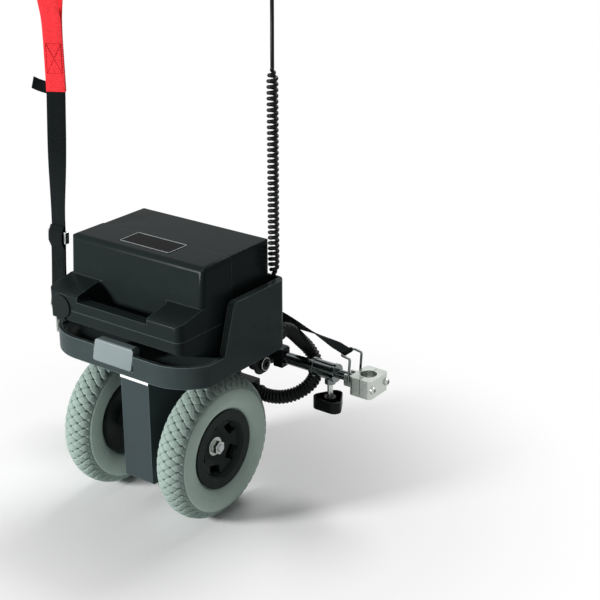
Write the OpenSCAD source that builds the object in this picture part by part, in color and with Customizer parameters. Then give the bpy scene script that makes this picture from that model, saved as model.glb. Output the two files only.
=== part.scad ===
// Power drive that hangs on the back of a wheelchair: two driven wheels on a leg, a lift-out
// battery in a tray above them, and a telescopic bar that clamps to the chair's frame.
// Millimetres. +X right, +Y towards the chair, +Z up. The origin is on the floor, in the middle.

/* [Wheels] */
// Outside diameter of each tyre
tyre_d = 200; // [192:1:212]
// Width of each tyre
tyre_w = 50; // [47:1:54]
// Blocks round each tyre in one row of the tread
tread_blocks = 48; // [40:2:56]
// Depth of the tread's pits
tread_h = 2.2; // [1.6:0.1:2.6]
// Distance between the middles of the two tyres
track = 166; // [164:1:190]
// Outside diameter of the rim flanges
rim_d = 110; // [107:1:113]
// Number of windows in each rim
rim_windows = 5; // [3:1:6]
// Diameter of the axle in its bearings
axle_d = 17; // [15:0.5:18]

/* [Drive] */
// Teeth on the worm wheel
worm_teeth = 30; // [28:1:31]
// Length of the motor can
motor_l = 84; // [70:1:86]
// Diameter of the motor can
motor_d = 64; // [56:1:66]
// Width of the leg
leg_w = 49; // [49:0.5:56]
// Depth of the leg from front to back
leg_depth = 97; // [97:1:104]
// Height of the folded edge at the leg's shoulder
leg_shoulder_z = 198; // [186:1:206]
// Thickness of the leg's sheet
leg_sheet = 2; // [1.5:0.1:2.2]

/* [Tray] */
// Width of the tray
tray_w = 260; // [254:1:270]
// Radius of the tray's front corners seen from above
lip_arc_r = 70; // [64:1:80]
// Height of the tray's lower edge above the floor
tray_z = 222; // [220:1:226]
// Height of the rim round the tray's front
lip_z = 252; // [249:1:255]
// Height of the tray's side and back walls
wall_z = 319; // [305:1:330]
// Thickness of the tray's walls
tray_wall = 3; // [2.4:0.1:3.5]
// Width of the turned-in rim on the tray's side walls
rim_w = 10; // [7:0.5:11]
// Width of the release button
button_w = 66; // [50:1:80]

/* [Battery] */
// Distance from the tray's side to the battery's front cover
batt_gap = 17; // [15:0.5:22]
// Height of the battery's top above the floor
batt_top_z = 373; // [368:1:385]
// Height of the line between the battery's lower and upper cases
batt_part_z = 289; // [286:1:293]
// Width of the finger opening behind the handle
grip_w = 120; // [100:1:124]
// Thickness of the battery's case walls
case_wall = 3; // [2.5:0.1:3.4]

/* [Hitch bar] */
// Outside diameter of the chromed bar
bar_d = 17; // [16.5:0.1:18]
// Diameter of the sliding rods
rod_d = 13; // [12:0.1:13.4]
// Half of the distance between the chair's frame tubes
frame_half = 236; // [230:1:250]
// Diameter of the chair's frame tubes
frame_tube_d = 22.2; // [19:0.1:23]
// Diameter of the pivot that the pack swings on
pivot_d = 12; // [10:0.5:13]
// Width across the lobes of the hand knobs
knob_d = 46; // [38:1:52]

/* [Cords and straps] */
// Thickness of the curly cord
cord_d = 5; // [4:0.1:5.4]
// Middle radius of the cord's curls
curl_r = 5.2; // [4.6:0.1:5.4]
// Number of curls
curls = 29; // [20:1:30]
// Outside diameter of the ribbed conduit
hose_d = 20; // [17:0.5:21]
// Number of ribs on the conduit
hose_ribs = 46; // [30:1:60]
// Width of the lifting strap
strap_w = 25; // [22:0.5:27]
// Width of the release strap
pull_w = 20; // [16:0.5:24]

/* [Hand control] */
// Width of the hand control's case
control_w = 44; // [40:1:50]
// Diameter of the push handle that it clamps on
handle_d = 22; // [20:0.5:24]

/* [Hidden] */
$fn = 48;
axle_y = -40;
axle_z = 100;
reach = tyre_d / 2;
grown = reach - 100;
wheel_x = track / 2;
section_r = tyre_w / 2;
section_at = reach - section_r;
tread_step = 22.5;
tread_end = 3 * tread_step;
tread_foot = section_r - tread_h - 1.2;
flange_r = rim_d / 2;
seat_r = flange_r - 6.5;
flange_u = tyre_w * 0.38;
seat_u = flange_u - 3.5;
hub_out = 2;
hub_in = -22;
split_u = -4;
axle_r = axle_d / 2;
hub_r = 6;
stud_r = 5;
nut_x = wheel_x + hub_out + 2.1;
shoulder_x = wheel_x + hub_in - 0.1;

worm_module = 2;
pitch_r = worm_module * worm_teeth / 2;
worm_r = 8;
worm_lead = 3.14159265 * worm_module;
lead_angle = atan(worm_lead / (2 * 3.14159265 * worm_r));
worm_z = axle_z + pitch_r + worm_r;
worm_thread_r = 10;
motor_y = axle_y + 40;
motor_end = motor_y + motor_l;
motor_r = motor_d / 2;
box_x = 68;
box_y = axle_y + reach - 4;
leg_front = axle_y - 58;
leg_back = leg_front + leg_depth;
leg_bottom = axle_z - 54;
gear_half = leg_w / 2 - leg_sheet - 0.3;

plate_t = 3;
plate_z = tray_z + plate_t;
deck_z = 244;
tray_front = axle_y + 5 - reach;
tray_back = axle_y + 3 + reach;
tray_half = tray_w / 2;
lip_arc_x = tray_half - 62;
lip_arc_y = tray_front + lip_arc_r;
lip_t = 5;
back_r = 14;
tray_in = tray_half - tray_wall;

batt_front = tray_front + 1;
batt_back = tray_back - 8.5;
batt_z = deck_z + 0.2;
batt_half = tray_half - batt_gap;
seam_y = axle_y + 10;
rear_half = batt_half - 2;
face_y = axle_y - 46;
shelf_y = axle_y - 50;
grip_y0 = batt_front + 16;
bar_top_z = 303;
cap_x = 25 - batt_half;
cap_z = 292;
cap_r = 15.5;

pivot_y = tray_back + 4;
bar_y = pivot_y + 35;
bar_z = 181;
bar_r = bar_d / 2;
rod_r = rod_d / 2;
collar_x0 = frame_half - 90;
collar_x1 = frame_half - 50;
collar_step = frame_half - 70;
knob_x = frame_half - 62;
rod_in = frame_half - 136;
cradle_x = frame_half - 33;
clamp_x = frame_half - 17;
bail_x = frame_half - 23;
pull_end = bail_x - 12;
pivot_z = 182;
pivot_r = pivot_d / 2;
bracket_x = 84;
arm_x = 70;

cord_in = 14;
cord_x = tray_half - cord_in;
cord_y = tray_back - 9;
cord_z0 = 262;
curl_z0 = 335;
curl_z1 = 592;
cord_z1 = 702;
curl_pitch = (curl_z1 - curl_z0) / curls;
cord_r = cord_d / 2;
hose_r = hose_d / 2;
hose_bore = hose_r - 3.5;
nozzle_r = hose_bore * 0.9;
strap_x = -tray_half - 13;
strap_y0 = tray_front + 49;
strap_y1 = strap_y0 + 21;
strap_z0 = 264;
strap_z1 = 566;
slider_z = 357;
strap_lean = atan((strap_y1 - strap_y0) / (strap_z1 - strap_z0));
ring_z = 245;

control_z = 704;
handle_z = control_z + 30 + handle_d / 2 + 5;

// Outline helpers

function unit(v) = v / norm(v);

// Points of a round corner of radius r at p1, between p0 and p2.
function corner(p0, p1, p2, r, n = 6) =
  let (
    a = unit(p0 - p1),
    b = unit(p2 - p1),
    half = acos(a * b) / 2,
    c = p1 + unit(a + b) * r / sin(half),
    s = p1 + a * r / tan(half) - c,
    e = p1 + b * r / tan(half) - c
  )
  [for (i = [0:n]) c + r * unit(s * (1 - i / n) + e * i / n)];

// A polygon's points with each corner rounded by its own radius.
function rounded(pts, radii, n = 6) =
  let (m = len(pts))
  [
    for (i = [0:m - 1])
      each radii[i] > 0
        ? corner(pts[(i + m - 1) % m], pts[i], pts[(i + 1) % m], radii[i], n)
        : [pts[i]]
  ];

module round_rect(x0, x1, y0, y1, r) {
  translate([x0 + r, y0]) square([x1 - x0 - 2 * r, y1 - y0]);
  translate([x0, y0 + r]) square([x1 - x0, y1 - y0 - 2 * r]);
  for (x = [x0 + r, x1 - r], y = [y0 + r, y1 - r]) translate([x, y]) circle(r);
}

module box(x0, x1, y0, y1, z0, z1) {
  translate([x0, y0, z0]) cube([x1 - x0, y1 - y0, z1 - z0]);
}

module x_rod(r, x0, x1, y, z) {
  translate([x0, y, z]) rotate([0, 90, 0]) cylinder(r = r, h = x1 - x0);
}

module y_rod(r, y0, y1, x, z) {
  translate([x, y0, z]) rotate([-90, 0, 0]) cylinder(r = r, h = y1 - y0);
}

// Extrudes a profile drawn as (y, z) from x0 to x1.
module side_profile(x0, x1) {
  translate([x0, 0, 0]) rotate([90, 0, 90]) linear_extrude(x1 - x0) children();
}

module both_sides() {
  children();
  mirror([1, 0, 0]) children();
}

// Wheels. Profiles are drawn as (radius, distance outwards from the tyre's middle).

module on_wheel(side) {
  translate([side * wheel_x, axle_y, axle_z])
    rotate([0, side * 90, 0])
      rotate_extrude() children();
}

module tyre_profile() {
  difference() {
    union() {
      translate([section_at, 0])
        difference() {
          circle(section_r);
          polygon(concat(
            [for (c = [-3:2:3]) tread_foot * [cos(c * tread_step), sin(c * tread_step)]],
            [for (c = [3:-1:-3]) 2 * section_r * [cos(c * tread_step), sin(c * tread_step)]]));
        }
      translate([seat_r, -seat_u + 0.3]) square([section_at - seat_r, 2 * seat_u - 0.6]);
    }
    translate([0, -30]) square([seat_r + 0.2, 60]);
    for (s = [-1, 1]) translate([0, s * flange_u - (s > 0 ? 3.8 : 0.3)]) square([flange_r + 0.3, 4.1]);
  }
}

// Height of the tread above the middle of the section, at column c and half step j round the wheel.
function tread_at(c, j) =
  abs(c) == 3 ? section_r - 0.3 : section_r - tread_h * (abs(c + j) % 2);

// The belt of the tread: diamond blocks in staggered rows, with a pit wherever four of them meet.
module tread(side) {
  n = 2 * tread_blocks;
  top = [for (c = [-3:3]) c];
  under = [3, 1, -1, -3];
  k = len(top) + len(under);
  turned = function (c) abs(c) == 3 ? sign(c) * (tread_end - 0.2) : c * tread_step;
  spot = function (h, c, j)
    [
      side * h * sin(turned(c)),
      (section_at + h * cos(turned(c))) * cos(180 * j / tread_blocks),
      (section_at + h * cos(turned(c))) * sin(180 * j / tread_blocks)
    ];
  faces = [
    for (j = [0:n - 1], i = [0:k - 1])
      each let (
        a = j * k + i,
        b = j * k + (i + 1) % k,
        a2 = (j + 1) % n * k + i,
        b2 = (j + 1) % n * k + (i + 1) % k
      )
      (i + j) % 2 == 1 || i > 5 ? [[a, b, a2], [b, b2, a2]] : [[a, b, b2], [a, b2, a2]]
  ];
  translate([side * wheel_x, axle_y, axle_z])
    polyhedron(
      points = [
        for (j = [0:n - 1])
          each concat(
            [for (c = top) spot(tread_at(c, j), c, j)],
            [for (c = under) spot(tread_foot + 0.1, c, j)])
      ],
      faces = side > 0 ? faces : [for (f = faces) [f[2], f[1], f[0]]]
    );
}

module tyre_left() {
  color([0.60, 0.69, 0.65]) {
    on_wheel(-1) tyre_profile();
    tread(-1);
  }
}

module tyre_right() {
  color([0.60, 0.69, 0.65]) {
    on_wheel(1) tyre_profile();
    tread(1);
  }
}

// The outer half carries the dished face that the photo shows, with its windows.
module outer_rims() {
  color([0.09, 0.09, 0.10])
    for (side = [-1, 1])
      difference() {
        on_wheel(side)
          polygon([
            [hub_r + 0.1, split_u + 0.05], [hub_r + 0.1, hub_out], [17, hub_out], [19, 3.5],
            [seat_r - 12, 10.5], [seat_r - 9, flange_u - 2], [seat_r - 6.5, flange_u],
            [flange_r, flange_u], [flange_r, seat_u], [seat_r, seat_u], [seat_r, split_u + 0.05],
            [seat_r - 4, split_u + 0.05], [seat_r - 4, 6], [20, -0.5], [17, split_u + 0.05]
          ]);
        translate([side * wheel_x, axle_y, axle_z])
          for (i = [0:rim_windows - 1])
            rotate([i * 360 / rim_windows + 20, 0, 0])
              translate([-12 + side * 8, -10, 26])
                cube([24, 20, seat_r - 38.5]);
      }
}

module inner_rims() {
  color([0.09, 0.09, 0.10])
    for (side = [-1, 1])
      on_wheel(side)
        polygon([
          [hub_r + 0.1, split_u - 0.05], [17, split_u - 0.05], [19, -7.5], [seat_r - 4, -13],
          [seat_r - 4, split_u - 0.05], [seat_r, split_u - 0.05], [seat_r, -seat_u],
          [flange_r, -seat_u], [flange_r, -flange_u], [seat_r + 1.5, -flange_u],
          [seat_r - 2, 2 - flange_u], [20, -11.5], [17, -13], [15, hub_in], [hub_r + 0.1, hub_in]
        ]);
}

module drive_axle() {
  color([0.70, 0.71, 0.73]) {
    x_rod(axle_r, -shoulder_x, shoulder_x, axle_y, axle_z);
    both_sides() {
      x_rod(hub_r, shoulder_x, nut_x - 0.1, axle_y, axle_z);
      x_rod(stud_r, nut_x - 0.1, nut_x + 10.5, axle_y, axle_z);
    }
  }
}

module axle_washers() {
  color([0.78, 0.79, 0.80])
    both_sides()
      difference() {
        x_rod(13, wheel_x + hub_out + 0.05, nut_x - 0.05, axle_y, axle_z);
        x_rod(hub_r + 0.1, wheel_x, nut_x + 1, axle_y, axle_z);
      }
}

module axle_nuts() {
  color([0.78, 0.79, 0.80])
    both_sides()
      difference() {
        translate([nut_x, axle_y, axle_z]) rotate([0, 90, 0]) cylinder(r = 9.8, h = 8, $fn = 6);
        x_rod(stud_r + 0.05, nut_x - 1, nut_x + 9, axle_y, axle_z);
      }
}

// Drive: a worm on the motor shaft turns a worm wheel in the middle of the axle.

module worm_wheel() {
  color([0.72, 0.55, 0.25])
    translate([0, axle_y, axle_z])
      difference() {
        union() {
          x_rod(pitch_r - 2.6, -7, 7, 0, 0);
          for (i = [0:worm_teeth - 1])
            rotate([(i + 0.5) * 360 / worm_teeth, 0, 0])
              translate([0, 0, pitch_r - 3.2])
                rotate([0, 0, lead_angle])
                  side_profile(-6.5, 6.5)
                    polygon([[-1.5, 0], [1.5, 0], [0.75, 4.8], [-0.75, 4.8]]);
        }
        x_rod(axle_r + 0.05, -8, 8, 0, 0);
      }
}

// One ring of the worm's thread, at a turn counted from the middle of the worm.
function thread_ring(turn) =
  let (a = 360 * turn, s = sin(a), c = cos(a), y = worm_lead * turn)
  [
    for (q = [[5.6, -1.5], [worm_thread_r, -0.7], [worm_thread_r, 0.7], [5.6, 1.5]])
      [q[0] * s, y + q[1], -q[0] * c]
  ];

// A tube with flat ends through a list of rings that all have the same number of points.
module skin(rings) {
  k = len(rings[0]);
  m = len(rings);
  polyhedron(
    points = [for (r = rings) each r],
    faces = concat(
      [[for (j = [0:k - 1]) j]],
      [
        for (i = [0:m - 2], j = [0:k - 1])
          each let (a = i * k + j, b = i * k + (j + 1) % k)
            [[a, a + k, b], [b, a + k, b + k]]
      ],
      [[for (j = [k - 1:-1:0]) (m - 1) * k + j]]
    )
  );
}

module worm_shaft() {
  color([0.66, 0.67, 0.70])
    translate([0, axle_y, worm_z]) {
      y_rod(5, -29.9, 52, 0, 0);
      y_rod(6, -21.9, 25.9, 0, 0);
      skin([for (t = [-2.75:1 / 16:2.75]) thread_ring(t)]);
    }
}

module gearbox_half() {
  difference() {
    box(0.05, gear_half, axle_y - 46, motor_y - 0.1, leg_bottom + leg_sheet + 0.1, worm_z + 28);
    translate([0, axle_y, axle_z]) {
      x_rod(pitch_r + 4, -1, 9, 0, 0);
      x_rod(17.55, 8, 19.5, 0, 0);
      x_rod(axle_r + 0.8, 8, gear_half + 1, 0, 0);
    }
    translate([0, axle_y, worm_z]) {
      y_rod(11.5, -24, 28, 0, 0);
      y_rod(13.05, -30.05, -21.95, 0, 0);
      y_rod(13.05, 25.95, 34.05, 0, 0);
      y_rod(7, 30, 41, 0, 0);
    }
    for (y = [-39, 33], z = [leg_bottom + 9, worm_z + 20])
      x_rod(2.1, -1, gear_half + 1, axle_y + y, z);
  }
}

module gearbox_left() { color([0.55, 0.57, 0.60]) mirror([1, 0, 0]) gearbox_half(); }

module gearbox_right() { color([0.55, 0.57, 0.60]) gearbox_half(); }

module gear_bearings() {
  color([0.75, 0.76, 0.78]) {
    both_sides()
      difference() {
        x_rod(17.5, 9.2, 19.2, axle_y, axle_z);
        x_rod(axle_r + 0.05, 9, 20, axle_y, axle_z);
      }
    for (y = [-30, 26])
      difference() {
        y_rod(13, axle_y + y, axle_y + y + 8, 0, worm_z);
        y_rod(5.05, axle_y + y - 1, axle_y + y + 9, 0, worm_z);
      }
  }
}

module motor_can() {
  color([0.16, 0.17, 0.18])
    difference() {
      union() {
        y_rod(motor_r, motor_y, motor_end, 0, worm_z);
        y_rod(motor_r + 1.5, motor_y, motor_y + 6, 0, worm_z);
      }
      y_rod(5.4, motor_y - 1, motor_y + 14, 0, worm_z);
    }
}

module motor_end_cap() {
  color([0.12, 0.12, 0.13])
    difference() {
      union() {
        y_rod(motor_r - 1, motor_end + 0.05, motor_end + 5, 0, worm_z);
        y_rod(11, motor_end + 4, motor_end + 8, 0, worm_z);
      }
      for (a = [45:90:360])
        translate([0, 0, worm_z])
          rotate([0, a, 0])
            y_rod(2.2, motor_end + 2, motor_end + 6, motor_r - 6, 0);
    }
}

// The conduit's inner nozzle is on this box.
module terminal_box() {
  color([0.10, 0.10, 0.11])
    difference() {
      union() {
        box(16, box_x, box_y, box_y + 27, axle_z + 12, axle_z + 48);
        x_rod(nozzle_r, box_x - 1, box_x + 12, box_y + 16, 132);
      }
      y_rod(motor_r + 0.05, motor_y, motor_end + 9, 0, worm_z);
      x_rod(nozzle_r - 1.5, box_x - 6, box_x + 13, box_y + 16, 132);
    }
}

// Chassis

function leg_profile(i) = [
  [leg_front + i, leg_bottom + i], [leg_back + 4 * i, leg_bottom + i],
  [leg_back + 4 * i, tray_z + 4 * i], [leg_front + 14 + i, tray_z + 4 * i],
  [leg_front + 14 + i, leg_shoulder_z + 10 + i * 0.4], [leg_front + i, leg_shoulder_z - i * 0.4]
];

module leg_channel() {
  color([0.30, 0.33, 0.35])
    difference() {
      side_profile(-leg_w / 2, leg_w / 2)
        polygon(rounded(leg_profile(0), [5, 0, 0, 0, 4, 4]));
      side_profile(-leg_w / 2 + leg_sheet, leg_w / 2 - leg_sheet)
        polygon(rounded(leg_profile(leg_sheet), [3, 0, 0, 0, 4, 4]));
      x_rod(axle_r + 1.5, -leg_w, leg_w, axle_y, axle_z);
    }
}

module base_plate() {
  color([0.20, 0.21, 0.22])
    translate([0, 0, tray_z])
      linear_extrude(plate_t)
        tray_plan(tray_wall + 0.4);
}

module rear_brackets() {
  color([0.36, 0.38, 0.40])
    both_sides()
      difference() {
        union() {
          side_profile(bracket_x, bracket_x + 4)
            polygon(rounded(
              [[tray_back - 33, tray_z], [tray_back - 1.5, tray_z], [pivot_y + 15, pivot_z + 6],
               [pivot_y + 15, pivot_z - 14], [pivot_y - 14, pivot_z - 14]],
              [0, 0, 8, 12, 12]));
          x_rod(10, bracket_x + 3, bracket_x + 7, pivot_y, pivot_z);
          box(bracket_x - 16, bracket_x + 1, tray_back - 33, tray_back - 4, tray_z - 3, tray_z);
        }
        x_rod(pivot_r + 0.05, bracket_x - 1, bracket_x + 9, pivot_y, pivot_z);
      }
}

// Half of the tray's outline seen from above, from the back to the middle of the front, drawn in
// by a distance all round. The lip's big front corners end in a sharp edge at the sides.
function tray_half_points(i) =
  let (
    x = tray_half - i,
    r = lip_arc_r - i,
    edge = -acos((x - lip_arc_x) / r),
    back = [x, tray_back - i]
  )
  concat(
    corner([0, back[1]], back, [x, 0], back_r - i, 8),
    [for (k = [0:14])
      let (a = edge + (-90 - edge) * k / 14)
      [lip_arc_x + r * cos(a), lip_arc_y + r * sin(a)]]
  );

module tray_plan(i) {
  half = tray_half_points(i);
  polygon(concat(half, [for (k = [len(half) - 1:-1:0]) [-half[k][0], half[k][1]]]));
}

module tray_shell() {
  color([0.16, 0.17, 0.18]) {
    difference() {
      union() {
        translate([0, 0, tray_z]) linear_extrude(deck_z - tray_z) tray_plan(0);
        translate([0, 0, deck_z - 1]) linear_extrude(lip_z - deck_z + 1) tray_plan(0);
        intersection() {
          translate([0, 0, deck_z]) linear_extrude(wall_z - deck_z) tray_plan(0);
          side_profile(-tray_w, tray_w)
            polygon(rounded(
              [[-69, lip_z - 6], [-47, wall_z], [tray_back + 5, wall_z], [tray_back + 5, lip_z - 6]],
              [0, 9, 0, 0]));
        }
      }
      translate([0, 0, deck_z]) linear_extrude(lip_z - deck_z + 1)
        intersection() {
          tray_plan(lip_t);
          translate([-tray_w, -300]) square([2 * tray_w, 250]);
        }
      translate([0, 0, deck_z]) linear_extrude(wall_z)
        intersection() {
          tray_plan(tray_wall);
          translate([rim_w - tray_half, -72]) square([tray_w - 2 * rim_w, 300]);
        }
      intersection() {
        translate([0, 0, deck_z]) linear_extrude(wall_z)
          intersection() {
            tray_plan(tray_wall);
            translate([-tray_w, -72]) square([2 * tray_w, 300]);
          }
        side_profile(-tray_w, tray_w)
          polygon([[-65.7, deck_z - 1], [-44, wall_z - 4], [tray_back + 5, wall_z - 4],
                   [tray_back + 5, deck_z - 1]]);
      }
      difference() {
        translate([0, 0, tray_z - 1]) linear_extrude(deck_z - tray_z - 2) tray_plan(tray_wall);
        for (x = [-96, 96], y = [-92, 30])
          translate([x, y, plate_z]) cylinder(r = 6, h = 30);
        for (s = [-1, 1]) box(s * 46 - 2, s * 46 + 2, -90, 40, plate_z, deck_z);
        box(-8, 8, tray_front + 22.8, tray_front + 25.8, plate_z, deck_z);
      }
      box(-button_w / 2 - 0.4, button_w / 2 + 0.4, tray_front - 1, tray_front + 10, 230.6, lip_z + 1);
      box(-22.5, 22.5, -13.5, 13.5, tray_z, deck_z + 1);
      translate([cord_x, cord_y, tray_z]) cylinder(r = 5.1, h = 30);
      y_rod(nozzle_r + 0.05, tray_back - 5, tray_back + 2, 110, 233);
    }
  }
}

module controller_box() {
  color([0.62, 0.64, 0.66])
    difference() {
      box(-42, 42, -84, -30, plate_z + 0.05, deck_z - 4);
      for (x = [-36:8:36]) box(x - 2, x + 2, -90, -20, deck_z - 9, deck_z);
    }
}

module docking_plug() {
  color([0.10, 0.10, 0.10]) {
    box(-22, 22, -13, 13, plate_z + 0.05, deck_z - 0.5);
    box(-18, 18, -7, 7, deck_z - 1, 252);
    for (x = [-10, 10]) box(x - 4, x + 4, -1.5, 1.5, 251, 258);
  }
}

// The curly cord's gland in the deck, and the conduit's nozzle in the tray's back wall.
module cord_gland() {
  color([0.08, 0.08, 0.08]) {
    difference() {
      union() {
        translate([cord_x, cord_y, plate_z + 0.1]) cylinder(r = 5, h = cord_z0 - plate_z - 2);
        translate([cord_x, cord_y, deck_z + 0.05]) cylinder(r = 5.6, h = 6);
      }
      translate([cord_x, cord_y, cord_z0 - 10]) cylinder(r = cord_r + 0.15, h = 20);
    }
    difference() {
      y_rod(nozzle_r, tray_back - tray_wall + 0.5, tray_back + 11, 110, 233);
      y_rod(nozzle_r - 1.5, tray_back - tray_wall, tray_back + 12, 110, 233);
    }
  }
}

// A bent wire triangle, its lower corner through the eye of a bent plate on the tray's left side.
module strap_ring() {
  path = bent([
    [strap_x - 0.3, strap_y0, ring_z], [strap_x - 5, strap_y0, ring_z],
    [strap_x - 18, strap_y0, strap_z0], [strap_x + 18, strap_y0, strap_z0],
    [strap_x + 5, strap_y0, ring_z], [strap_x + 0.3, strap_y0, ring_z]
  ], 2.5);
  color([0.72, 0.73, 0.75]) {
    skin(tube_rings(path, [for (q = path) 1.8], 12, [0, 1, 0]));
    difference() {
      union() {
        box(strap_x - 1.2, strap_x + 1.2, strap_y0 - 8, strap_y0 + 8, 227, ring_z + 7);
        box(strap_x - 1.2, -tray_half - 0.05, strap_y0 - 8, strap_y0 + 8, 227, 229.4);
        box(-tray_half - 2, -tray_half - 0.05, strap_y0 - 8, strap_y0 + 8, 227, 238);
      }
      x_rod(2.6, strap_x - 3, strap_x + 3, strap_y0, ring_z);
    }
  }
}

// Soft and wound forms

hose_points = [
  [68.2, 72, 132], [80, 72, 132], [96, 73, 132], [114, 77, 135], [129, 86, 141], [138, 100, 149],
  [139, 114, 157], [134, 126, 167], [126, 131, 179], [118, 128, 192], [113, 119, 204],
  [111, 108, 216], [110, 96, 227], [110, 84, 232.5], [110, 73, 233], [110, 63.2, 233]
];

// The loop stays clear of the bar's collar and of the tyres.
hose_route = [
  for (p = hose_points)
    [min(p[0], 114) + max(p[0] - 114, 0) * (collar_x0 - 121) / 25, p[1] + grown, p[2]]
];

// A smooth curve through the points; t runs from 0 to one less than their number.
function along(p, t) =
  let (
    n = len(p) - 1,
    i = min(floor(t), n - 1),
    f = t - i,
    a = i > 0 ? p[i - 1] : 2 * p[0] - p[1],
    b = p[i],
    c = p[i + 1],
    d = i < n - 1 ? p[i + 2] : 2 * p[n] - p[n - 1]
  )
  b + 0.5 * f * (c - a + f * (2 * a - 5 * b + 4 * c - d + f * (3 * (b - c) + d - a)));

function flat_to(v, t) = unit(v - (v * t) * t);

// Rings along a centreline, without twist, each of its own radius.
function tube_rings(mid, radii, sides, first) =
  let (
    m = len(mid) - 1,
    dir = [for (i = [0:m]) unit(mid[min(i + 1, m)] - mid[max(i - 1, 0)])],
    normals = [
      for (i = 0, v = flat_to(first, dir[0]); i <= m;
           i = i + 1, v = i <= m ? flat_to(v, dir[i]) : v) v
    ]
  )
  [
    for (i = [0:m])
      let (b = cross(dir[i], normals[i]))
      [
        for (j = [0:sides - 1])
          let (a = 360 * j / sides)
          mid[i] + radii[i] * (cos(a) * normals[i] + sin(a) * b)
      ]
  ];

function hose_mid(n) = [for (i = [0:n]) along(hose_route, i / n * (len(hose_route) - 1))];

// The ribbed hose: outside rings alternate between rib and valley, and the bore is smooth.
module conduit() {
  outer = hose_mid(2 * hose_ribs);
  inner = hose_mid(hose_ribs);
  ribs = [for (i = [0:2 * hose_ribs]) i % 2 == 0 ? hose_r : hose_r - 2];
  a = tube_rings(outer, ribs, 8, [0, 0, 1]);
  b = tube_rings(inner, [for (i = inner) hose_bore], 8, [0, 0, 1]);
  k = 8;
  m = len(a);
  n = len(b);
  o = m * k;
  color([0.11, 0.11, 0.12])
    polyhedron(
      points = concat([for (r = a) each r], [for (r = b) each r]),
      faces = concat(
        [for (i = [0:m - 2], j = [0:k - 1])
          each let (p = i * k + j, q = i * k + (j + 1) % k) [[p, p + k, q], [q, p + k, q + k]]],
        [for (i = [0:n - 2], j = [0:k - 1])
          each let (p = o + i * k + j, q = o + i * k + (j + 1) % k)
            [[p, q, p + k], [q, q + k, p + k]]],
        [for (j = [0:k - 1]) each let (l = (j + 1) % k) [[j, l, o + j], [l, o + l, o + j]]],
        [for (j = [0:k - 1])
          each let (l = (j + 1) % k, p = (m - 1) * k, q = o + (n - 1) * k)
            [[p + j, q + j, p + l], [p + l, q + j, q + l]]]
      )
    );
}

// How far the cord's centreline is from the axis of its curls, at a turn.
function curl_reach(t) = let (e = min(1, max(0, min(t, curls - t) / 2))) curl_r * e * e * (3 - 2 * e);

function curl_point(t) =
  [cord_x + curl_reach(t) * cos(360 * t), cord_y + curl_reach(t) * sin(360 * t),
   curl_z0 + curl_pitch * t];

cord_turns = [for (i = [0:8 * curls]) i / 8];
cord_mid = concat(
  [[cord_x, cord_y, cord_z0 - 8], [cord_x, cord_y, cord_z0 + 10]],
  [for (t = cord_turns) curl_point(t)],
  [[cord_x, cord_y, cord_z1 - 20], [cord_x, cord_y, cord_z1]]
);
cord_angle = concat([0, 0], [for (t = cord_turns) 360 * t], [0, 0]);

// Each ring keeps one corner on the outside of its curl.
function cord_ring(i) =
  let (
    m = len(cord_mid) - 1,
    dir = unit(cord_mid[min(i + 1, m)] - cord_mid[max(i - 1, 0)]),
    n = flat_to([cos(cord_angle[i]), sin(cord_angle[i]), 0], dir),
    b = cross(dir, n)
  )
  [for (j = [0:5]) cord_mid[i] + cord_r * (cos(60 * j) * n + sin(60 * j) * b)];

// Least gap between one turn and the next, measured on finer points of the centreline.
curl_gap = min([
  for (i = [0:4:len(cord_turns) - 9], j = [-2:0.25:2])
    norm(curl_point(cord_turns[i]) - curl_point(cord_turns[i] + 1 + j / 8))
]) - cord_d;
echo(str("least gap of the curly cord to itself, mm: ", curl_gap));

module curly_cord() {
  color([0.07, 0.07, 0.08]) skin([for (i = [0:len(cord_mid) - 1]) cord_ring(i)]);
}

// A flat band through points (y, z), drawn as one closed outline of the given thickness.
module band(pts, t, x0, x1) {
  m = len(pts) - 1;
  side = [
    for (i = [0:m])
      let (d = unit(pts[min(i + 1, m)] - pts[max(i - 1, 0)])) [-d[1], d[0]] * t / 2
  ];
  side_profile(x0, x1)
    polygon(concat(
      [for (i = [0:m]) pts[i] + side[i]],
      [for (i = [m:-1:0]) pts[i] - side[i]]
    ));
}

function strap_at(z) = strap_y0 + (strap_y1 - strap_y0) * (z - strap_z0) / (strap_z1 - strap_z0);

// Up from round the wire ring: two layers to the slider, then one.
module lift_strap() {
  color([0.10, 0.10, 0.11])
    difference() {
      union() {
        band([[strap_y0, strap_z0 - 1], [strap_at(slider_z + 14), slider_z + 14]],
          3.2, strap_x - strap_w / 2, strap_x + strap_w / 2);
        band([[strap_at(slider_z), slider_z], [strap_y1, strap_z1]],
          1.6, strap_x - strap_w / 2, strap_x + strap_w / 2);
        x_rod(4, strap_x - strap_w / 2, strap_x + strap_w / 2, strap_y0, strap_z0);
      }
      x_rod(2.1, strap_x - strap_w, strap_x + strap_w, strap_y0, strap_z0);
    }
}

module strap_slider() {
  color([0.72, 0.73, 0.75])
    translate([strap_x, strap_at(slider_z + 4), slider_z + 4])
      rotate([-strap_lean, 0, 0])
        difference() {
          box(-strap_w / 2 - 4, strap_w / 2 + 4, -3.6, 3.6, -8, 8);
          box(-strap_w / 2 - 0.4, strap_w / 2 + 0.4, -2, 2, -9, 9);
        }
}

// The red loop that hangs over the push handle.
module pull_loop() {
  y = strap_y1;
  z = strap_z1 + 0.1;
  color([0.85, 0.15, 0.16])
    band([
      [y, z], [y, z + 60], [y - 4, z + 84], [y - 14, z + 108], [y - 18, z + 132], [y - 13, z + 150],
      [y, z + 158], [y + 13, z + 150], [y + 18, z + 132], [y + 14, z + 108], [y + 5, z + 84],
      [y + 2.4, z + 60], [y + 2.4, z + 30]
    ], 1.8, strap_x - strap_w / 2, strap_x + strap_w / 2);
}

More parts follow.
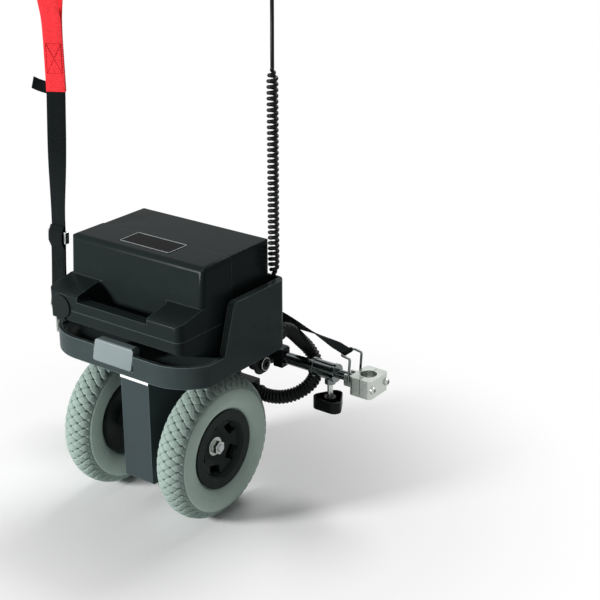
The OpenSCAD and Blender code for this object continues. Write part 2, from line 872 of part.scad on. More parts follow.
// Strap that joins the two bails behind the tray, folded round their cross bars; it makes one
// half twist on the right.
function pull_at(x) =
  [x, bar_y + 26 - 26 * pow(x / pull_end, 2), bar_z + 48 - 12 * pow(x / pull_end, 2)];

function pull_turn(x) =
  let (twist = pull_end - 131)
  x < twist ? 90 * min(1, (x + pull_end) / 60) : 90 + 90 * min(1, (x - twist) / 110);

module release_strap() {
  n = 40;
  color([0.10, 0.10, 0.11]) {
    skin([
      for (i = [0:n])
        let (
          x = (pull_end - 2.8) * (2 * i / n - 1),
          a = pull_turn(x),
          p = pull_at(x),
          u = [0, cos(a), sin(a)] * pull_w / 2,
          v = [0, -sin(a), cos(a)] * 0.8
        )
        [p - u - v, p + u - v, p + u + v, p - u + v]
    ]);
    both_sides()
      difference() {
        y_rod(3.6, bar_y - pull_w / 2, bar_y + pull_w / 2, pull_end, bar_z + 36);
        y_rod(2.1, bar_y - pull_w, bar_y + pull_w, pull_end, bar_z + 36);
      }
  }
}

module latch_spring() {
  color([0.70, 0.71, 0.73])
    skin([
      for (i = [0:56])
        let (
          a = 360 * i / 8,
          mid = [4 * cos(a), tray_front + 8 + i * 0.25, 236 + 4 * sin(a)],
          out = [cos(a), 0, sin(a)]
        )
        [for (j = [0:5]) mid + 0.6 * (cos(60 * j) * out + sin(60 * j) * [0, 1, 0])]
    ]);
}

// The button leans back and stands above the lip, so that a foot or thumb finds it.
module release_button() {
  w = button_w / 2;
  color([0.74, 0.76, 0.77]) {
    intersection() {
      side_profile(-w, w)
        polygon(rounded(
          [[tray_front - 3.5, 231], [tray_front + 3, 231], [tray_front + 3, 247],
           [tray_front + 13, 247], [tray_front + 16, lip_z + 8], [tray_front + 3, lip_z + 8]],
          [2, 0, 0, 0, 2, 3]));
      translate([0, tray_front + 50, 0]) rotate([90, 0, 0]) linear_extrude(100)
        round_rect(-w, w, 231, lip_z + 8, 5);
    }
    y_rod(3, tray_front + 2, tray_front + 9, 0, 236);
  }
}

// Battery

// Side view of the whole case, drawn in by a distance.
function batt_profile(i) = [
  [batt_back - i, batt_z + i], [batt_back - i, batt_top_z - i], [face_y + i, batt_top_z - i],
  [shelf_y + i, 320 - i], [batt_front + i, 311 - i], [batt_front + i, 273 + i], [-60 + i, batt_z + i]
];

// The upper block's side edges are round: along the top, and up the leaning front.
module batt_block(i, half) {
  lean = atan((face_y - shelf_y) / (batt_top_z - 320));
  w = half - i;
  intersection() {
    side_profile(-w, w) polygon(rounded(batt_profile(i), [0, 7, 9, 4, 6, 5, 20]));
    linear_extrude(500) round_rect(-w, w, batt_front + i, batt_back - i, 11 - i);
    translate([0, 300, 0]) rotate([90, 0, 0])
      linear_extrude(600) round_rect(-w - 0.05, w + 0.05, 200, batt_top_z - i + 0.05, 7 - i);
    union() {
      box(-300, 300, -300, 300, 0, 320 - i);
      translate([0, shelf_y + i - 0.1, 320 - i]) rotate([-lean, 0, 0]) translate([0, 0, -20])
        linear_extrude(200) round_rect(-w - 0.05, w + 0.05, 0, 400, 8 - i);
    }
  }
}

module grip_opening() {
  w = grip_w / 2;
  translate([0, 0, 200]) linear_extrude(200) round_rect(-w, w, grip_y0, shelf_y + 0.5, 9);
  box(-w, w, batt_front - 1, grip_y0 + 10, bar_top_z, 400);
}

module grip_lining() {
  w = grip_w / 2 + case_wall;
  linear_extrude(500) round_rect(-w, w, batt_front, shelf_y + case_wall, 9 + case_wall);
}

// What is left solid in the hollow case: the handle and the lining of the finger opening.
module batt_hollow(half) {
  difference() {
    batt_block(case_wall, half);
    grip_lining();
    y_rod(cap_r + 4, batt_front, batt_front + 12, cap_x, cap_z);
  }
}

module cap_seat() {
  y_rod(cap_r + 0.5, batt_front - 1, batt_front + 2.6, cap_x, cap_z);
  y_rod(11.1, batt_front, batt_front + 13, cap_x, cap_z);
}

module battery_lower_case() {
  color([0.13, 0.14, 0.15])
    difference() {
      intersection() {
        union() {
          intersection() {
            batt_block(0, batt_half);
            box(-200, 200, -200, seam_y, 0, 400);
          }
          batt_block(0, rear_half);
        }
        box(-200, 200, -200, 200, 0, batt_part_z - 0.1);
      }
      difference() {
        batt_hollow(rear_half);
        for (x = [-50, 50]) box(x - 1.5, x + 1.5, -110, 60, 0, 260.5);
      }
      grip_opening();
      cap_seat();
      box(-24.2, 24.2, -16.2, 16.2, batt_z - 1, batt_z + 9);
    }
}

module battery_front_cover() {
  color([0.13, 0.14, 0.15])
    difference() {
      intersection() {
        batt_block(0, batt_half);
        box(-200, 200, -200, seam_y, batt_part_z + 0.1, 500);
      }
      batt_hollow(rear_half);
      grip_opening();
      cap_seat();
      box(-43.3, 43.3, -69.3, -22.7, batt_top_z - 0.8, 500);
    }
}

module battery_rear_cover() {
  color([0.13, 0.14, 0.15])
    difference() {
      intersection() {
        batt_block(0, rear_half);
        box(-200, 200, seam_y + 0.2, 200, batt_part_z + 0.1, batt_top_z - 1);
      }
      batt_hollow(rear_half);
    }
}

module battery_panel() {
  color([0.05, 0.05, 0.06])
    translate([0, 0, batt_top_z - 0.75])
      linear_extrude(1.1)
        round_rect(-43, 43, -69, seam_y - 0.3, 3);
}

module battery_cells() {
  color([0.35, 0.37, 0.40])
    for (y = [-80, -14]) {
      box(-75.5, 75.5, y, y + 65, 260.55, 350);
      for (x = [-66, 66]) box(x - 3, x + 3, y + 8, y + 14, 349, 356);
    }
}

module battery_socket() {
  color([0.10, 0.10, 0.10])
    difference() {
      union() {
        box(-24, 24, -16, 16, batt_z + 0.1, batt_z + 9);
        box(-27, 27, -19, 19, batt_z + case_wall + 0.1, batt_z + 15.9);
      }
      box(-19, 19, -8, 8, batt_z - 1, 252.6);
      for (x = [-10, 10]) box(x - 4.6, x + 4.6, -2.1, 2.1, 250, 259);
    }
}

module charge_socket() {
  color([0.55, 0.57, 0.60])
    difference() {
      y_rod(11, batt_front + 3, batt_front + 12.9, cap_x, cap_z);
      y_rod(8.5, batt_front + 2, batt_front + 10, cap_x, cap_z);
      for (a = [0, 120, 240])
        y_rod(1.3, batt_front + 8, batt_front + 12, cap_x + 4.5 * sin(a), cap_z + 4.5 * cos(a));
    }
}

// Round cover over the charging socket; it drops open on a pin below it.
module charge_cap() {
  color([0.09, 0.09, 0.10]) {
    y_rod(cap_r, batt_front - 2.5, batt_front + 2.2, cap_x, cap_z);
    box(cap_x - 6, cap_x + 6, batt_front - 2.5, batt_front - 0.3, cap_z - cap_r - 3.2, cap_z - 10);
    x_rod(1.4, cap_x - 8, cap_x + 8, batt_front - 1.8, cap_z - cap_r - 2.4);
  }
}

// Hitch bar, held by the chair

module crossbar_tube() {
  color([0.80, 0.81, 0.83])
    difference() {
      x_rod(bar_r, -collar_step, collar_step, bar_y, bar_z);
      x_rod(rod_r + 0.08, -collar_step - 1, collar_step + 1, bar_y, bar_z);
    }
}

// Split sleeves at the ends of the bar, each with a boss for a hand knob.
module bar_collars() {
  color([0.74, 0.75, 0.77])
    both_sides()
      difference() {
        union() {
          x_rod(12, collar_x0, collar_x1, bar_y, bar_z);
          x_rod(13, collar_x0, collar_x0 + 5, bar_y, bar_z);
          x_rod(13, collar_x1 - 5, collar_x1, bar_y, bar_z);
          translate([knob_x, bar_y, bar_z - 18]) cylinder(r = 7.5, h = 14);
        }
        x_rod(bar_r + 0.05, collar_x0 - 1, collar_step + 0.1, bar_y, bar_z);
        x_rod(rod_r + 0.08, collar_x0, collar_x1 + 1, bar_y, bar_z);
        box(collar_step + 4, collar_x1 + 1, bar_y - 20, bar_y, bar_z - 1.2, bar_z + 1.2);
        translate([knob_x, bar_y, bar_z - 30]) cylinder(r = 4.05, h = 26);
      }
}

module hitch_blocks() {
  color([0.12, 0.12, 0.13])
    both_sides()
      difference() {
        box(bracket_x, bracket_x + 15, bar_y - 9, bar_y + 9, bar_z - 13, bar_z + 13);
        x_rod(bar_r + 0.05, bracket_x - 1, bracket_x + 16, bar_y, bar_z);
      }
}

module hitch_arms() {
  color([0.36, 0.38, 0.40])
    both_sides()
      difference() {
        union() {
          x_rod(13, arm_x, arm_x + 8, pivot_y, pivot_z);
          x_rod(14, arm_x, arm_x + 8, bar_y, bar_z);
          box(arm_x, arm_x + 8, pivot_y, bar_y, pivot_z - 11, pivot_z + 11);
        }
        x_rod(pivot_r + 0.05, arm_x - 1, arm_x + 9, pivot_y, pivot_z);
        x_rod(bar_r + 0.05, arm_x - 1, arm_x + 9, bar_y, bar_z);
      }
}

module pivot_shaft() {
  color([0.70, 0.71, 0.73])
    difference() {
      x_rod(pivot_r, -bracket_x - 7.5, bracket_x + 7.5, pivot_y, pivot_z);
      both_sides() x_rod(pivot_r - 2.5, bracket_x + 2, bracket_x + 9, pivot_y, pivot_z);
    }
}

module rod() {
  difference() {
    x_rod(rod_r, rod_in, clamp_x - 0.3, bar_y, bar_z);
    difference() {
      x_rod(rod_r + 1, bail_x - 2.5, bail_x + 2.5, bar_y, bar_z);
      x_rod(4.6, bail_x - 3, bail_x + 3, bar_y, bar_z);
    }
  }
}

module rod_left() { color([0.80, 0.81, 0.83]) mirror([1, 0, 0]) rod(); }

module rod_right() { color([0.80, 0.81, 0.83]) rod(); }

// Inner half of the clamp on the chair's frame tube, with the open cradle for the rod.
module frame_clamp() {
  difference() {
    union() {
      translate([0, 0, bar_z - 13]) linear_extrude(26)
        round_rect(clamp_x, frame_half + 10, bar_y - 22, bar_y + 22, 5);
      side_profile(cradle_x, clamp_x + 6)
        polygon(rounded(
          [[bar_y - 10.5, bar_z - 11], [bar_y + 10.5, bar_z - 11], [bar_y + 10.5, bar_z + 7],
           [bar_y - 10.5, bar_z + 7]],
          [5, 5, 1, 1]));
    }
    box(frame_half - 0.4, frame_half + 20, bar_y - 30, bar_y + 30, bar_z - 20, bar_z + 20);
    translate([frame_half, bar_y, bar_z - 20]) cylinder(r = frame_tube_d / 2, h = 40);
    x_rod(rod_r + 0.15, cradle_x - 1, clamp_x, bar_y, bar_z);
    box(cradle_x - 1, clamp_x, bar_y - rod_r - 0.15, bar_y + rod_r + 0.15, bar_z, bar_z + 20);
    y_rod(1.85, bar_y - 20, bar_y + 20, bail_x, bar_z);
    for (s = [-1, 1]) x_rod(3.1, clamp_x - 5, frame_half + 5, bar_y + s * 16.5, bar_z);
  }
}

module clamp_cap() {
  difference() {
    translate([0, 0, bar_z - 13]) linear_extrude(26)
      round_rect(frame_half - 10, frame_half + 17, bar_y - 22, bar_y + 22, 5);
    box(frame_half - 20, frame_half + 0.4, bar_y - 30, bar_y + 30, bar_z - 20, bar_z + 20);
    translate([frame_half, bar_y, bar_z - 20]) cylinder(r = frame_tube_d / 2, h = 40);
    for (s = [-1, 1]) x_rod(3.1, frame_half - 5, frame_half + 20, bar_y + s * 16.5, bar_z);
  }
}

module frame_clamp_left() { color([0.68, 0.69, 0.71]) mirror([1, 0, 0]) frame_clamp(); }

module frame_clamp_right() { color([0.68, 0.69, 0.71]) frame_clamp(); }

module clamp_cap_left() { color([0.68, 0.69, 0.71]) mirror([1, 0, 0]) clamp_cap(); }

module clamp_cap_right() { color([0.68, 0.69, 0.71]) clamp_cap(); }

// An open path with its inner corners rounded.
function bent(p, r) =
  let (m = len(p) - 1)
  [for (i = [0:m]) each i == 0 || i == m ? [p[i]] : corner(p[i - 1], p[i], p[i + 1], r, 3)];

// Wire bail: its ends are the lock pins in the rod's groove, its cross bar holds the strap.
module bail() {
  x = bail_x;
  path = bent([
    [x, bar_y - 6, bar_z], [x, bar_y - 14, bar_z], [x + 2, bar_y - 14, bar_z + 34],
    [x - 12, bar_y - 14, bar_z + 36], [x - 12, bar_y + 14, bar_z + 36],
    [x + 2, bar_y + 14, bar_z + 34], [x, bar_y + 14, bar_z], [x, bar_y + 6, bar_z]
  ], 3);
  skin(tube_rings(path, [for (q = path) 1.75], 12, [1, 0, 0]));
}

module bail_left() { color([0.72, 0.73, 0.75]) mirror([1, 0, 0]) bail(); }

module bail_right() { color([0.72, 0.73, 0.75]) bail(); }

module lobes(r, n = 32) {
  hull()
    for (a = [90, 210, 330])
      translate([(knob_d / 2 - r - 2) * cos(a), (knob_d / 2 - r - 2) * sin(a)]) circle(r + 2, $fn = n);
}

// Three-lobed hand knob, hollow on top round its boss.
module knob() {
  translate([knob_x, bar_y, 126])
    difference() {
      union() {
        difference() {
          linear_extrude(17) lobes(8);
          translate([0, 0, 4]) linear_extrude(20)
            intersection() {
              lobes(5);
              circle(knob_d / 2 - 3);
            }
        }
        cylinder(r = 8.5, h = 17);
      }
      translate([0, 0, 3]) cylinder(r = 4.05, h = 20);
    }
}

module stud() {
  translate([knob_x, bar_y, 129.1]) cylinder(r = 4, h = bar_z - rod_r - 0.4 - 129.1);
}

module knob_left() { color([0.10, 0.11, 0.11]) mirror([1, 0, 0]) knob(); }

module knob_right() { color([0.10, 0.11, 0.11]) knob(); }

module stud_left() { color([0.76, 0.77, 0.78]) mirror([1, 0, 0]) stud(); }

module stud_right() { color([0.76, 0.77, 0.78]) stud(); }

// Hand control, which clamps under the chair's push handle at the cord's top end.

module control_case() {
  w = control_w / 2;
  color([0.10, 0.10, 0.11])
    difference() {
      union() {
        translate([cord_x, 0, control_z]) linear_extrude(30)
          round_rect(-w, w, cord_y - 34, cord_y + 30, 9);
        translate([cord_x, cord_y, control_z - 12]) cylinder(r1 = 4.5, r2 = 7, h = 13);
      }
      translate([cord_x, cord_y, control_z - 20]) cylinder(r = cord_r + 0.15, h = 20);
      box(cord_x - 14, cord_x + 14, cord_y - 40, cord_y - 12, control_z + 9, control_z + 23);
      x_rod(9.3, cord_x + w - 5, cord_x + w + 2, cord_y + 12, control_z + 16);
      x_rod(3.05, cord_x + w - 12, cord_x + w, cord_y + 12, control_z + 16);
      translate([cord_x, cord_y - 20, control_z + 2]) cylinder(r = 2.05, h = 26);
    }
}

module control_clamp() {
  color([0.10, 0.10, 0.11])
    difference() {
      union() {
        y_rod(handle_d / 2 + 5, cord_y - 14, cord_y + 14, cord_x, handle_z);
        box(cord_x - 14, cord_x + 14, cord_y - 14, cord_y + 14, control_z + 30.05, handle_z);
        box(cord_x - 6, cord_x + 6, cord_y - 14, cord_y + 14, handle_z, handle_z + handle_d / 2 + 12);
      }
      y_rod(handle_d / 2, cord_y - 20, cord_y + 20, cord_x, handle_z);
      box(cord_x - 1, cord_x + 1, cord_y - 20, cord_y + 20, handle_z, handle_z + 60);
    }
}

// Speed lever under the thumb; it turns on a pin in the case.
module thumb_lever() {
  color([0.75, 0.14, 0.14])
    translate([cord_x, cord_y - 20, 0]) {
      translate([0, 0, control_z + 2.2]) cylinder(r = 2, h = 25.6);
      translate([0, 0, control_z + 10]) cylinder(r = 5.5, h = 12);
      translate([0, 0, control_z + 10]) linear_extrude(12)
        polygon(rounded([[-4, 0], [-5, -34], [5, -34], [4, 0]], [0, 4, 4, 0]));
    }
}

module speed_dial() {
  x = cord_x + control_w / 2;
  color([0.15, 0.15, 0.16])
    difference() {
      union() {
        x_rod(9, x - 4.9, x + 7, cord_y + 12, control_z + 16);
        x_rod(3, x - 11.8, x, cord_y + 12, control_z + 16);
      }
      box(x + 5.5, x + 8, cord_y + 11, cord_y + 13, control_z + 16, control_z + 40);
    }
}

// All is drawn with the axle at one height; the size of the tyres sets how high it stands.
module stand() { translate([0, 0, reach - axle_z]) children(); }

stand() drive_axle();
stand() tyre_left();
stand() tyre_right();
stand() outer_rims();
stand() inner_rims();
stand() axle_washers();
stand() axle_nuts();
stand() worm_wheel();
stand() worm_shaft();
stand() gearbox_left();
stand() gearbox_right();
stand() gear_bearings();
stand() motor_can();
stand() motor_end_cap();
stand() terminal_box();
stand() leg_channel();
stand() base_plate();
stand() rear_brackets();
stand() tray_shell();
stand() controller_box();
stand() docking_plug();
stand() cord_gland();
stand() strap_ring();
stand() conduit();
stand() latch_spring();
stand() release_button();
stand() battery_lower_case();
stand() battery_front_cover();
stand() battery_rear_cover();
stand() battery_panel();
stand() battery_cells();
stand() battery_socket();
stand() charge_socket();
stand() charge_cap();
stand() crossbar_tube();
stand() bar_collars();
stand() hitch_blocks();
stand() hitch_arms();
stand() pivot_shaft();
stand() rod_left();
stand() rod_right();
stand() frame_clamp_left();
stand() frame_clamp_right();
stand() clamp_cap_left();
stand() clamp_cap_right();
stand() bail_left();
stand() bail_right();
stand() knob_left();
stand() knob_right();
stand() stud_left();
stand() stud_right();
stand() lift_strap();
stand() strap_slider();
stand() pull_loop();
stand() release_strap();
stand() curly_cord();
stand() control_case();
stand() control_clamp();
stand() thumb_lever();
stand() speed_dial();
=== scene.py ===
import math

import bmesh
import bpy
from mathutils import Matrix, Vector


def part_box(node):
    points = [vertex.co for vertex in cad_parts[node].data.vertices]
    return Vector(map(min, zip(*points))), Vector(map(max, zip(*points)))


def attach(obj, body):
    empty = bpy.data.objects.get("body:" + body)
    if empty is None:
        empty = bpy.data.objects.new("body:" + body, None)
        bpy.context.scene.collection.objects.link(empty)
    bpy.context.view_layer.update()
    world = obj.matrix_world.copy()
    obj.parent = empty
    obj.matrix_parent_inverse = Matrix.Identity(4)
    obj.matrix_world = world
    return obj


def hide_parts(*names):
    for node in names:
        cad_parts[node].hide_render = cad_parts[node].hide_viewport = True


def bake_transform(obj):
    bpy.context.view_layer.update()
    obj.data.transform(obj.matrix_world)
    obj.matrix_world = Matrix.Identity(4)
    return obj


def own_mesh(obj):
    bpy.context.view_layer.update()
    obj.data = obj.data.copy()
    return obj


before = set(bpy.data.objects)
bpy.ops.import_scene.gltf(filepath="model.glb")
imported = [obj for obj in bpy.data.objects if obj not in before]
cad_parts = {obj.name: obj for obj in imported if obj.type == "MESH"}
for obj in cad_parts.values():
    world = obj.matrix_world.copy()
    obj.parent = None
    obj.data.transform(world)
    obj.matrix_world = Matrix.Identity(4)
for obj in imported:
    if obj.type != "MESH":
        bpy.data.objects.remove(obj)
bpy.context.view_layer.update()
scene = bpy.context.scene
mm = 0.001
up = Vector((0, 0, 1))
rightward = Vector((1, 0, 0))
bothSides = ((-1, "Left"), (1, "Right"))
print("stage: frame loaded,", len(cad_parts), "nodes")


# small helpers: paths, meshes, node trees

def smoothStep(a, b, v):
    part = min(1, max(0, (v - a) / (b - a)))
    return part * part * (3 - 2 * part)


def evenly(dense, step):
    # points at equal distances along a dense line
    run = [0.0]
    for a, b in zip(dense, dense[1:]):
        run.append(run[-1] + (b - a).length)
    count = max(2, round(run[-1] / step))
    out, k = [], 0
    for i in range(count + 1):
        want = run[-1] * i / count
        while k < len(run) - 2 and run[k + 1] < want:
            k += 1
        part = (want - run[k]) / max(run[k + 1] - run[k], 1e-9)
        out.append(dense[k].lerp(dense[k + 1], part))
    return out


def smoothLine(points, step, parts=20):
    # one smooth curve through all the points
    pts = [Vector(p) for p in points]
    last = len(pts) - 1
    dense = []
    for i in range(last):
        b, c = pts[i], pts[i + 1]
        a = pts[i - 1] if i else 2 * b - c
        d = pts[i + 2] if i < last - 1 else 2 * c - b
        for k in range(parts):
            f = k / parts
            bend = 2 * a - 5 * b + 4 * c - d + f * (3 * (b - c) + d - a)
            dense.append(b + 0.5 * f * (c - a + f * bend))
    dense.append(pts[last])
    return evenly(dense, step)


def lineLength(path):
    return sum((b - a).length for a, b in zip(path, path[1:]))


def tangents(path):
    last = len(path) - 1
    return [(path[min(i + 1, last)] - path[max(i - 1, 0)]).normalized() for i in range(last + 1)]


def linkNew(name, data):
    obj = bpy.data.objects.new(name, data)
    scene.collection.objects.link(obj)
    return obj


def addObject(name, verts, faces, material, uvs=None, smooth=True):
    mesh = bpy.data.meshes.new(name)
    mesh.from_pydata(verts, [], faces)
    if uvs:
        layer = mesh.uv_layers.new(name="UVMap")
        for loop in mesh.loops:
            layer.data[loop.index].uv = uvs[loop.vertex_index]
    mesh.update()
    if smooth:
        mesh.shade_smooth()
    if material:
        mesh.materials.append(material)
    return linkNew(name, mesh)


def meshFrom(name, bm):
    mesh = bpy.data.meshes.new(name)
    bm.to_mesh(mesh)
    bm.free()
    return mesh


def outwards(obj, merge=1e-6, sharp=None):
    # joins doubles, points the faces outwards, and keeps edges over an angle sharp
    bm = bmesh.new()
    bm.from_mesh(obj.data)
    bmesh.ops.remove_doubles(bm, verts=bm.verts, dist=merge)
    bmesh.ops.recalc_face_normals(bm, faces=bm.faces)
    bm.to_mesh(obj.data)
    bm.free()
    obj.data.shade_smooth()
    if sharp:
        obj.data.set_sharp_from_angle(angle=math.radians(sharp))
    return obj


def ringFaces(rows, size):
    # side faces of a stack of closed rings
    faces = []
    for i in range(rows - 1):
        for j in range(size):
            k = (j + 1) % size
            faces.append((i * size + j, i * size + k, (i + 1) * size + k, (i + 1) * size + j))
    return faces


def tube(name, path, radii, sides, material, first=up):
    # round tube with capped ends; UV is (round, along) in metres
    dirs = tangents(path)
    n = first
    verts, uvs, run = [], [], 0.0
    for i, p in enumerate(path):
        n = (n - n.dot(dirs[i]) * dirs[i]).normalized()
        b = dirs[i].cross(n)
        run += (p - path[i - 1]).length if i else 0
        for j in range(sides):
            a = 2 * math.pi * j / sides
            verts.append(p + radii[i] * (math.cos(a) * n + math.sin(a) * b))
            uvs.append((radii[i] * a, run))
    faces = ringFaces(len(path), sides)
    faces.append(tuple(range(sides - 1, -1, -1)))
    faces.append(tuple((len(path) - 1) * sides + j for j in range(sides)))
    return addObject(name, verts, faces, material, uvs)


def ribbon(name, path, across, width, thick, material, rib=0.00012, pitch=0.0026, cols=8, thinEdge=0.55):
    # woven band: cross ribs on both faces, rounded edges; UV is (across, along) in metres
    dirs = tangents(path)
    verts, uvs, faces, run = [], [], [], 0.0
    ring = [(-1 + 2 * j / cols, 1) for j in range(cols + 1)]
    ring += [(1 - 2 * j / cols, -1) for j in range(cols + 1)]
    size = len(ring)
    for i, p in enumerate(path):
        w = across[i].normalized()
        n = dirs[i].cross(w).normalized()
        run += (p - path[i - 1]).length if i else 0
        swell = rib * math.cos(2 * math.pi * run / pitch)
        for u, side in ring:
            edge = thinEdge if abs(u) > 0.999 else 1.0
            verts.append(p + w * u * width / 2 + n * side * (thick / 2 * edge + swell * edge))
            uvs.append((u * width / 2, run))
    for i in range(len(path) - 1):
        for j in range(size):
            k = (j + 1) % size
            faces.append((i * size + j, (i + 1) * size + j, (i + 1) * size + k, i * size + k))
    faces.append(tuple(range(size)))
    faces.append(tuple((len(path) - 1) * size + j for j in range(size - 1, -1, -1)))
    return outwards(addObject(name, verts, faces, material, uvs), sharp=60)


def lathe(name, profile, centre, side, segments, material, sharp=35):
    # profile is (radius, distance outwards along X), closed
    verts, faces = [], []
    count = len(profile)
    for i in range(segments):
        a = 2 * math.pi * i / segments
        for r, u in profile:
            verts.append(Vector(centre) + Vector((side * u, r * math.cos(a), r * math.sin(a))))
    for i in range(segments):
        for j in range(count):
            k, m = (j + 1) % count, (i + 1) % segments
            faces.append((i * count + j, i * count + k, m * count + k, m * count + j))
    return outwards(addObject(name, verts, faces, material), sharp=sharp)


def joinPieces(name, objects):
    # several objects become one mesh, with their materials
    bm = bmesh.new()
    mats = []
    for o in objects:
        start = len(bm.faces)
        bm.from_mesh(o.data)
        bm.faces.ensure_lookup_table()
        shift = len(mats)
        for m in o.data.materials:
            mats.append(m)
        for f in bm.faces[start:]:
            f.material_index += shift
    mesh = meshFrom(name, bm)
    for m in mats:
        mesh.materials.append(m)
    for o in objects:
        bpy.data.objects.remove(o)
    return linkNew(name, mesh)


def dropHelper(obj):
    mesh = obj.data
    bpy.data.objects.remove(obj)
    bpy.data.meshes.remove(mesh)


def fasten(piece, body):
    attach(piece, body)


def newTree(name, inputs):
    tree = bpy.data.node_groups.new(name, "GeometryNodeTree")
    tree.interface.new_socket("Geometry", in_out="INPUT", socket_type="NodeSocketGeometry")
    for label, kind, value in inputs:
        s = tree.interface.new_socket(label, in_out="INPUT", socket_type=kind)
        if value is not None:
            s.default_value = value
    tree.interface.new_socket("Geometry", in_out="OUTPUT", socket_type="NodeSocketGeometry")
    return tree, tree.nodes.new("NodeGroupInput"), tree.nodes.new("NodeGroupOutput")


def addNode(tree, kind, inputs=None, **modes):
    # a new node: its modes first, then its own input values
    node = tree.nodes.new(kind)
    for label, value in modes.items():
        setattr(node, label, value)
    for label, value in (inputs or {}).items():
        node.inputs[label].default_value = value
    return node


def wire(tree, *rows):
    # rows are (from, its output, to, its input)
    for source, outLabel, target, inLabel in rows:
        tree.links.new(source.outputs[outLabel], target.inputs[inLabel])


def setInput(modifier, label, value):
    for item in modifier.node_group.interface.items_tree:
        if item.in_out == "INPUT" and item.name == label:
            modifier[item.identifier] = value


def settle(obj):
    # the evaluated result becomes a plain mesh
    dg = bpy.context.evaluated_depsgraph_get()
    mesh = bpy.data.meshes.new_from_object(obj.evaluated_get(dg))
    obj.modifiers.clear()
    old = obj.data
    obj.data = mesh
    bpy.data.meshes.remove(old)
    return obj


# tree: one piece on every point, turned by the point's own two directions
placeTree, tIn, tOut = newTree("setOnPoints", [
    ("Piece", "NodeSocketObject", None),
    ("Size", "NodeSocketVector", (1, 1, 1)),
    ("Finish", "NodeSocketMaterial", None),
])
objInfo = addNode(placeTree, "GeometryNodeObjectInfo")
outward, around = [addNode(placeTree, "GeometryNodeInputNamedAttribute", {"Name": label}, data_type="FLOAT_VECTOR")
                   for label in ("outward", "around")]
turn = addNode(placeTree, "FunctionNodeAxesToRotation", primary_axis="Z", secondary_axis="X")
onPoints = addNode(placeTree, "GeometryNodeInstanceOnPoints")
realize = addNode(placeTree, "GeometryNodeRealizeInstances")
setMat = addNode(placeTree, "GeometryNodeSetMaterial")
wire(placeTree,
     (tIn, "Piece", objInfo, "Object"),
     (outward, "Attribute", turn, "Primary Axis"), (around, "Attribute", turn, "Secondary Axis"),
     (tIn, "Geometry", onPoints, "Points"), (objInfo, "Geometry", onPoints, "Instance"),
     (turn, "Rotation", onPoints, "Rotation"), (tIn, "Size", onPoints, "Scale"),
     (onPoints, "Instances", realize, "Geometry"), (realize, "Geometry", setMat, "Geometry"),
     (tIn, "Finish", setMat, "Material"), (setMat, "Geometry", tOut, "Geometry"))

# tree: welds a CAD mesh's loose triangles and drops its stored normals
ownNormals = {"Remove Custom": True, "Face Sharpness": False}
weldTree, wIn, wOut = newTree("weldFaces", [("Gap", "NodeSocketFloat", 2e-6)])
merge = addNode(weldTree, "GeometryNodeMergeByDistance")
plain = addNode(weldTree, "GeometryNodeSetMeshNormal", ownNormals, mode="SHARPNESS")
wire(weldTree,
     (wIn, "Geometry", merge, "Geometry"), (wIn, "Gap", merge, "Distance"),
     (merge, "Geometry", plain, "Mesh"), (plain, "Mesh", wOut, "Geometry"))

# tree: smooth shading except over an angle
shadeTree, sIn, sOut = newTree("shadeByAngle", [("Angle", "NodeSocketFloat", math.radians(32))])
edgeAngle = addNode(shadeTree, "GeometryNodeInputMeshEdgeAngle")
over = addNode(shadeTree, "FunctionNodeCompare", data_type="FLOAT", operation="GREATER_THAN")
byAngle = addNode(shadeTree, "GeometryNodeSetMeshNormal", ownNormals, mode="SHARPNESS")
wire(shadeTree,
     (edgeAngle, "Unsigned Angle", over, "A"), (sIn, "Angle", over, "B"),
     (over, "Result", byAngle, "Edge Sharpness"), (sIn, "Geometry", byAngle, "Mesh"),
     (byAngle, "Mesh", sOut, "Geometry"))


def setOnPoints(name, piece, spots, size, material):
    # spots are (place, outward, around)
    mesh = bpy.data.meshes.new(name)
    mesh.from_pydata([s[0] for s in spots], [], [])
    for label, k in (("outward", 1), ("around", 2)):
        layer = mesh.attributes.new(label, "FLOAT_VECTOR", "POINT")
        layer.data.foreach_set("vector", [c for s in spots for c in s[k]])
    obj = linkNew(name, mesh)
    mod = obj.modifiers.new("setOnPoints", "NODES")
    mod.node_group = placeTree
    setInput(mod, "Piece", piece)
    setInput(mod, "Size", size)
    setInput(mod, "Finish", material)
    return settle(obj)


# finishes

# painted highlights along rounded edges: how wide and how much paler
edgeGlint = {"width": 0.0018, "samples": 6, "paler": 5.2, "lighten": 0.01, "from": 0.995, "to": 0.80}


def paintEdgeHighlights(tree, source, bsdf, color, amount):
    # painted highlight on the edges: where a rounded normal turns from the surface's own, the colour goes paler
    soft = addNode(tree, "ShaderNodeBevel", {"Radius": edgeGlint["width"]}, samples=edgeGlint["samples"])
    own = addNode(tree, "ShaderNodeNewGeometry")
    match = addNode(tree, "ShaderNodeVectorMath", operation="DOT_PRODUCT")
    mask = addNode(tree, "ShaderNodeMapRange",
                   {"From Min": edgeGlint["from"], "From Max": edgeGlint["to"], "To Max": amount})
    pale = [min(1, c * edgeGlint["paler"] + edgeGlint["lighten"]) for c in color]
    highlight = addNode(tree, "ShaderNodeMix", {"B": (*pale, 1)}, data_type="RGBA")
    wire(tree,
         (soft, "Normal", match, 0), (own, "Normal", match, 1), (match, "Value", mask, "Value"),
         (mask, "Result", highlight, "Factor"), (source, "Result", highlight, "A"), (highlight, "Result", bsdf, "Base Color"))


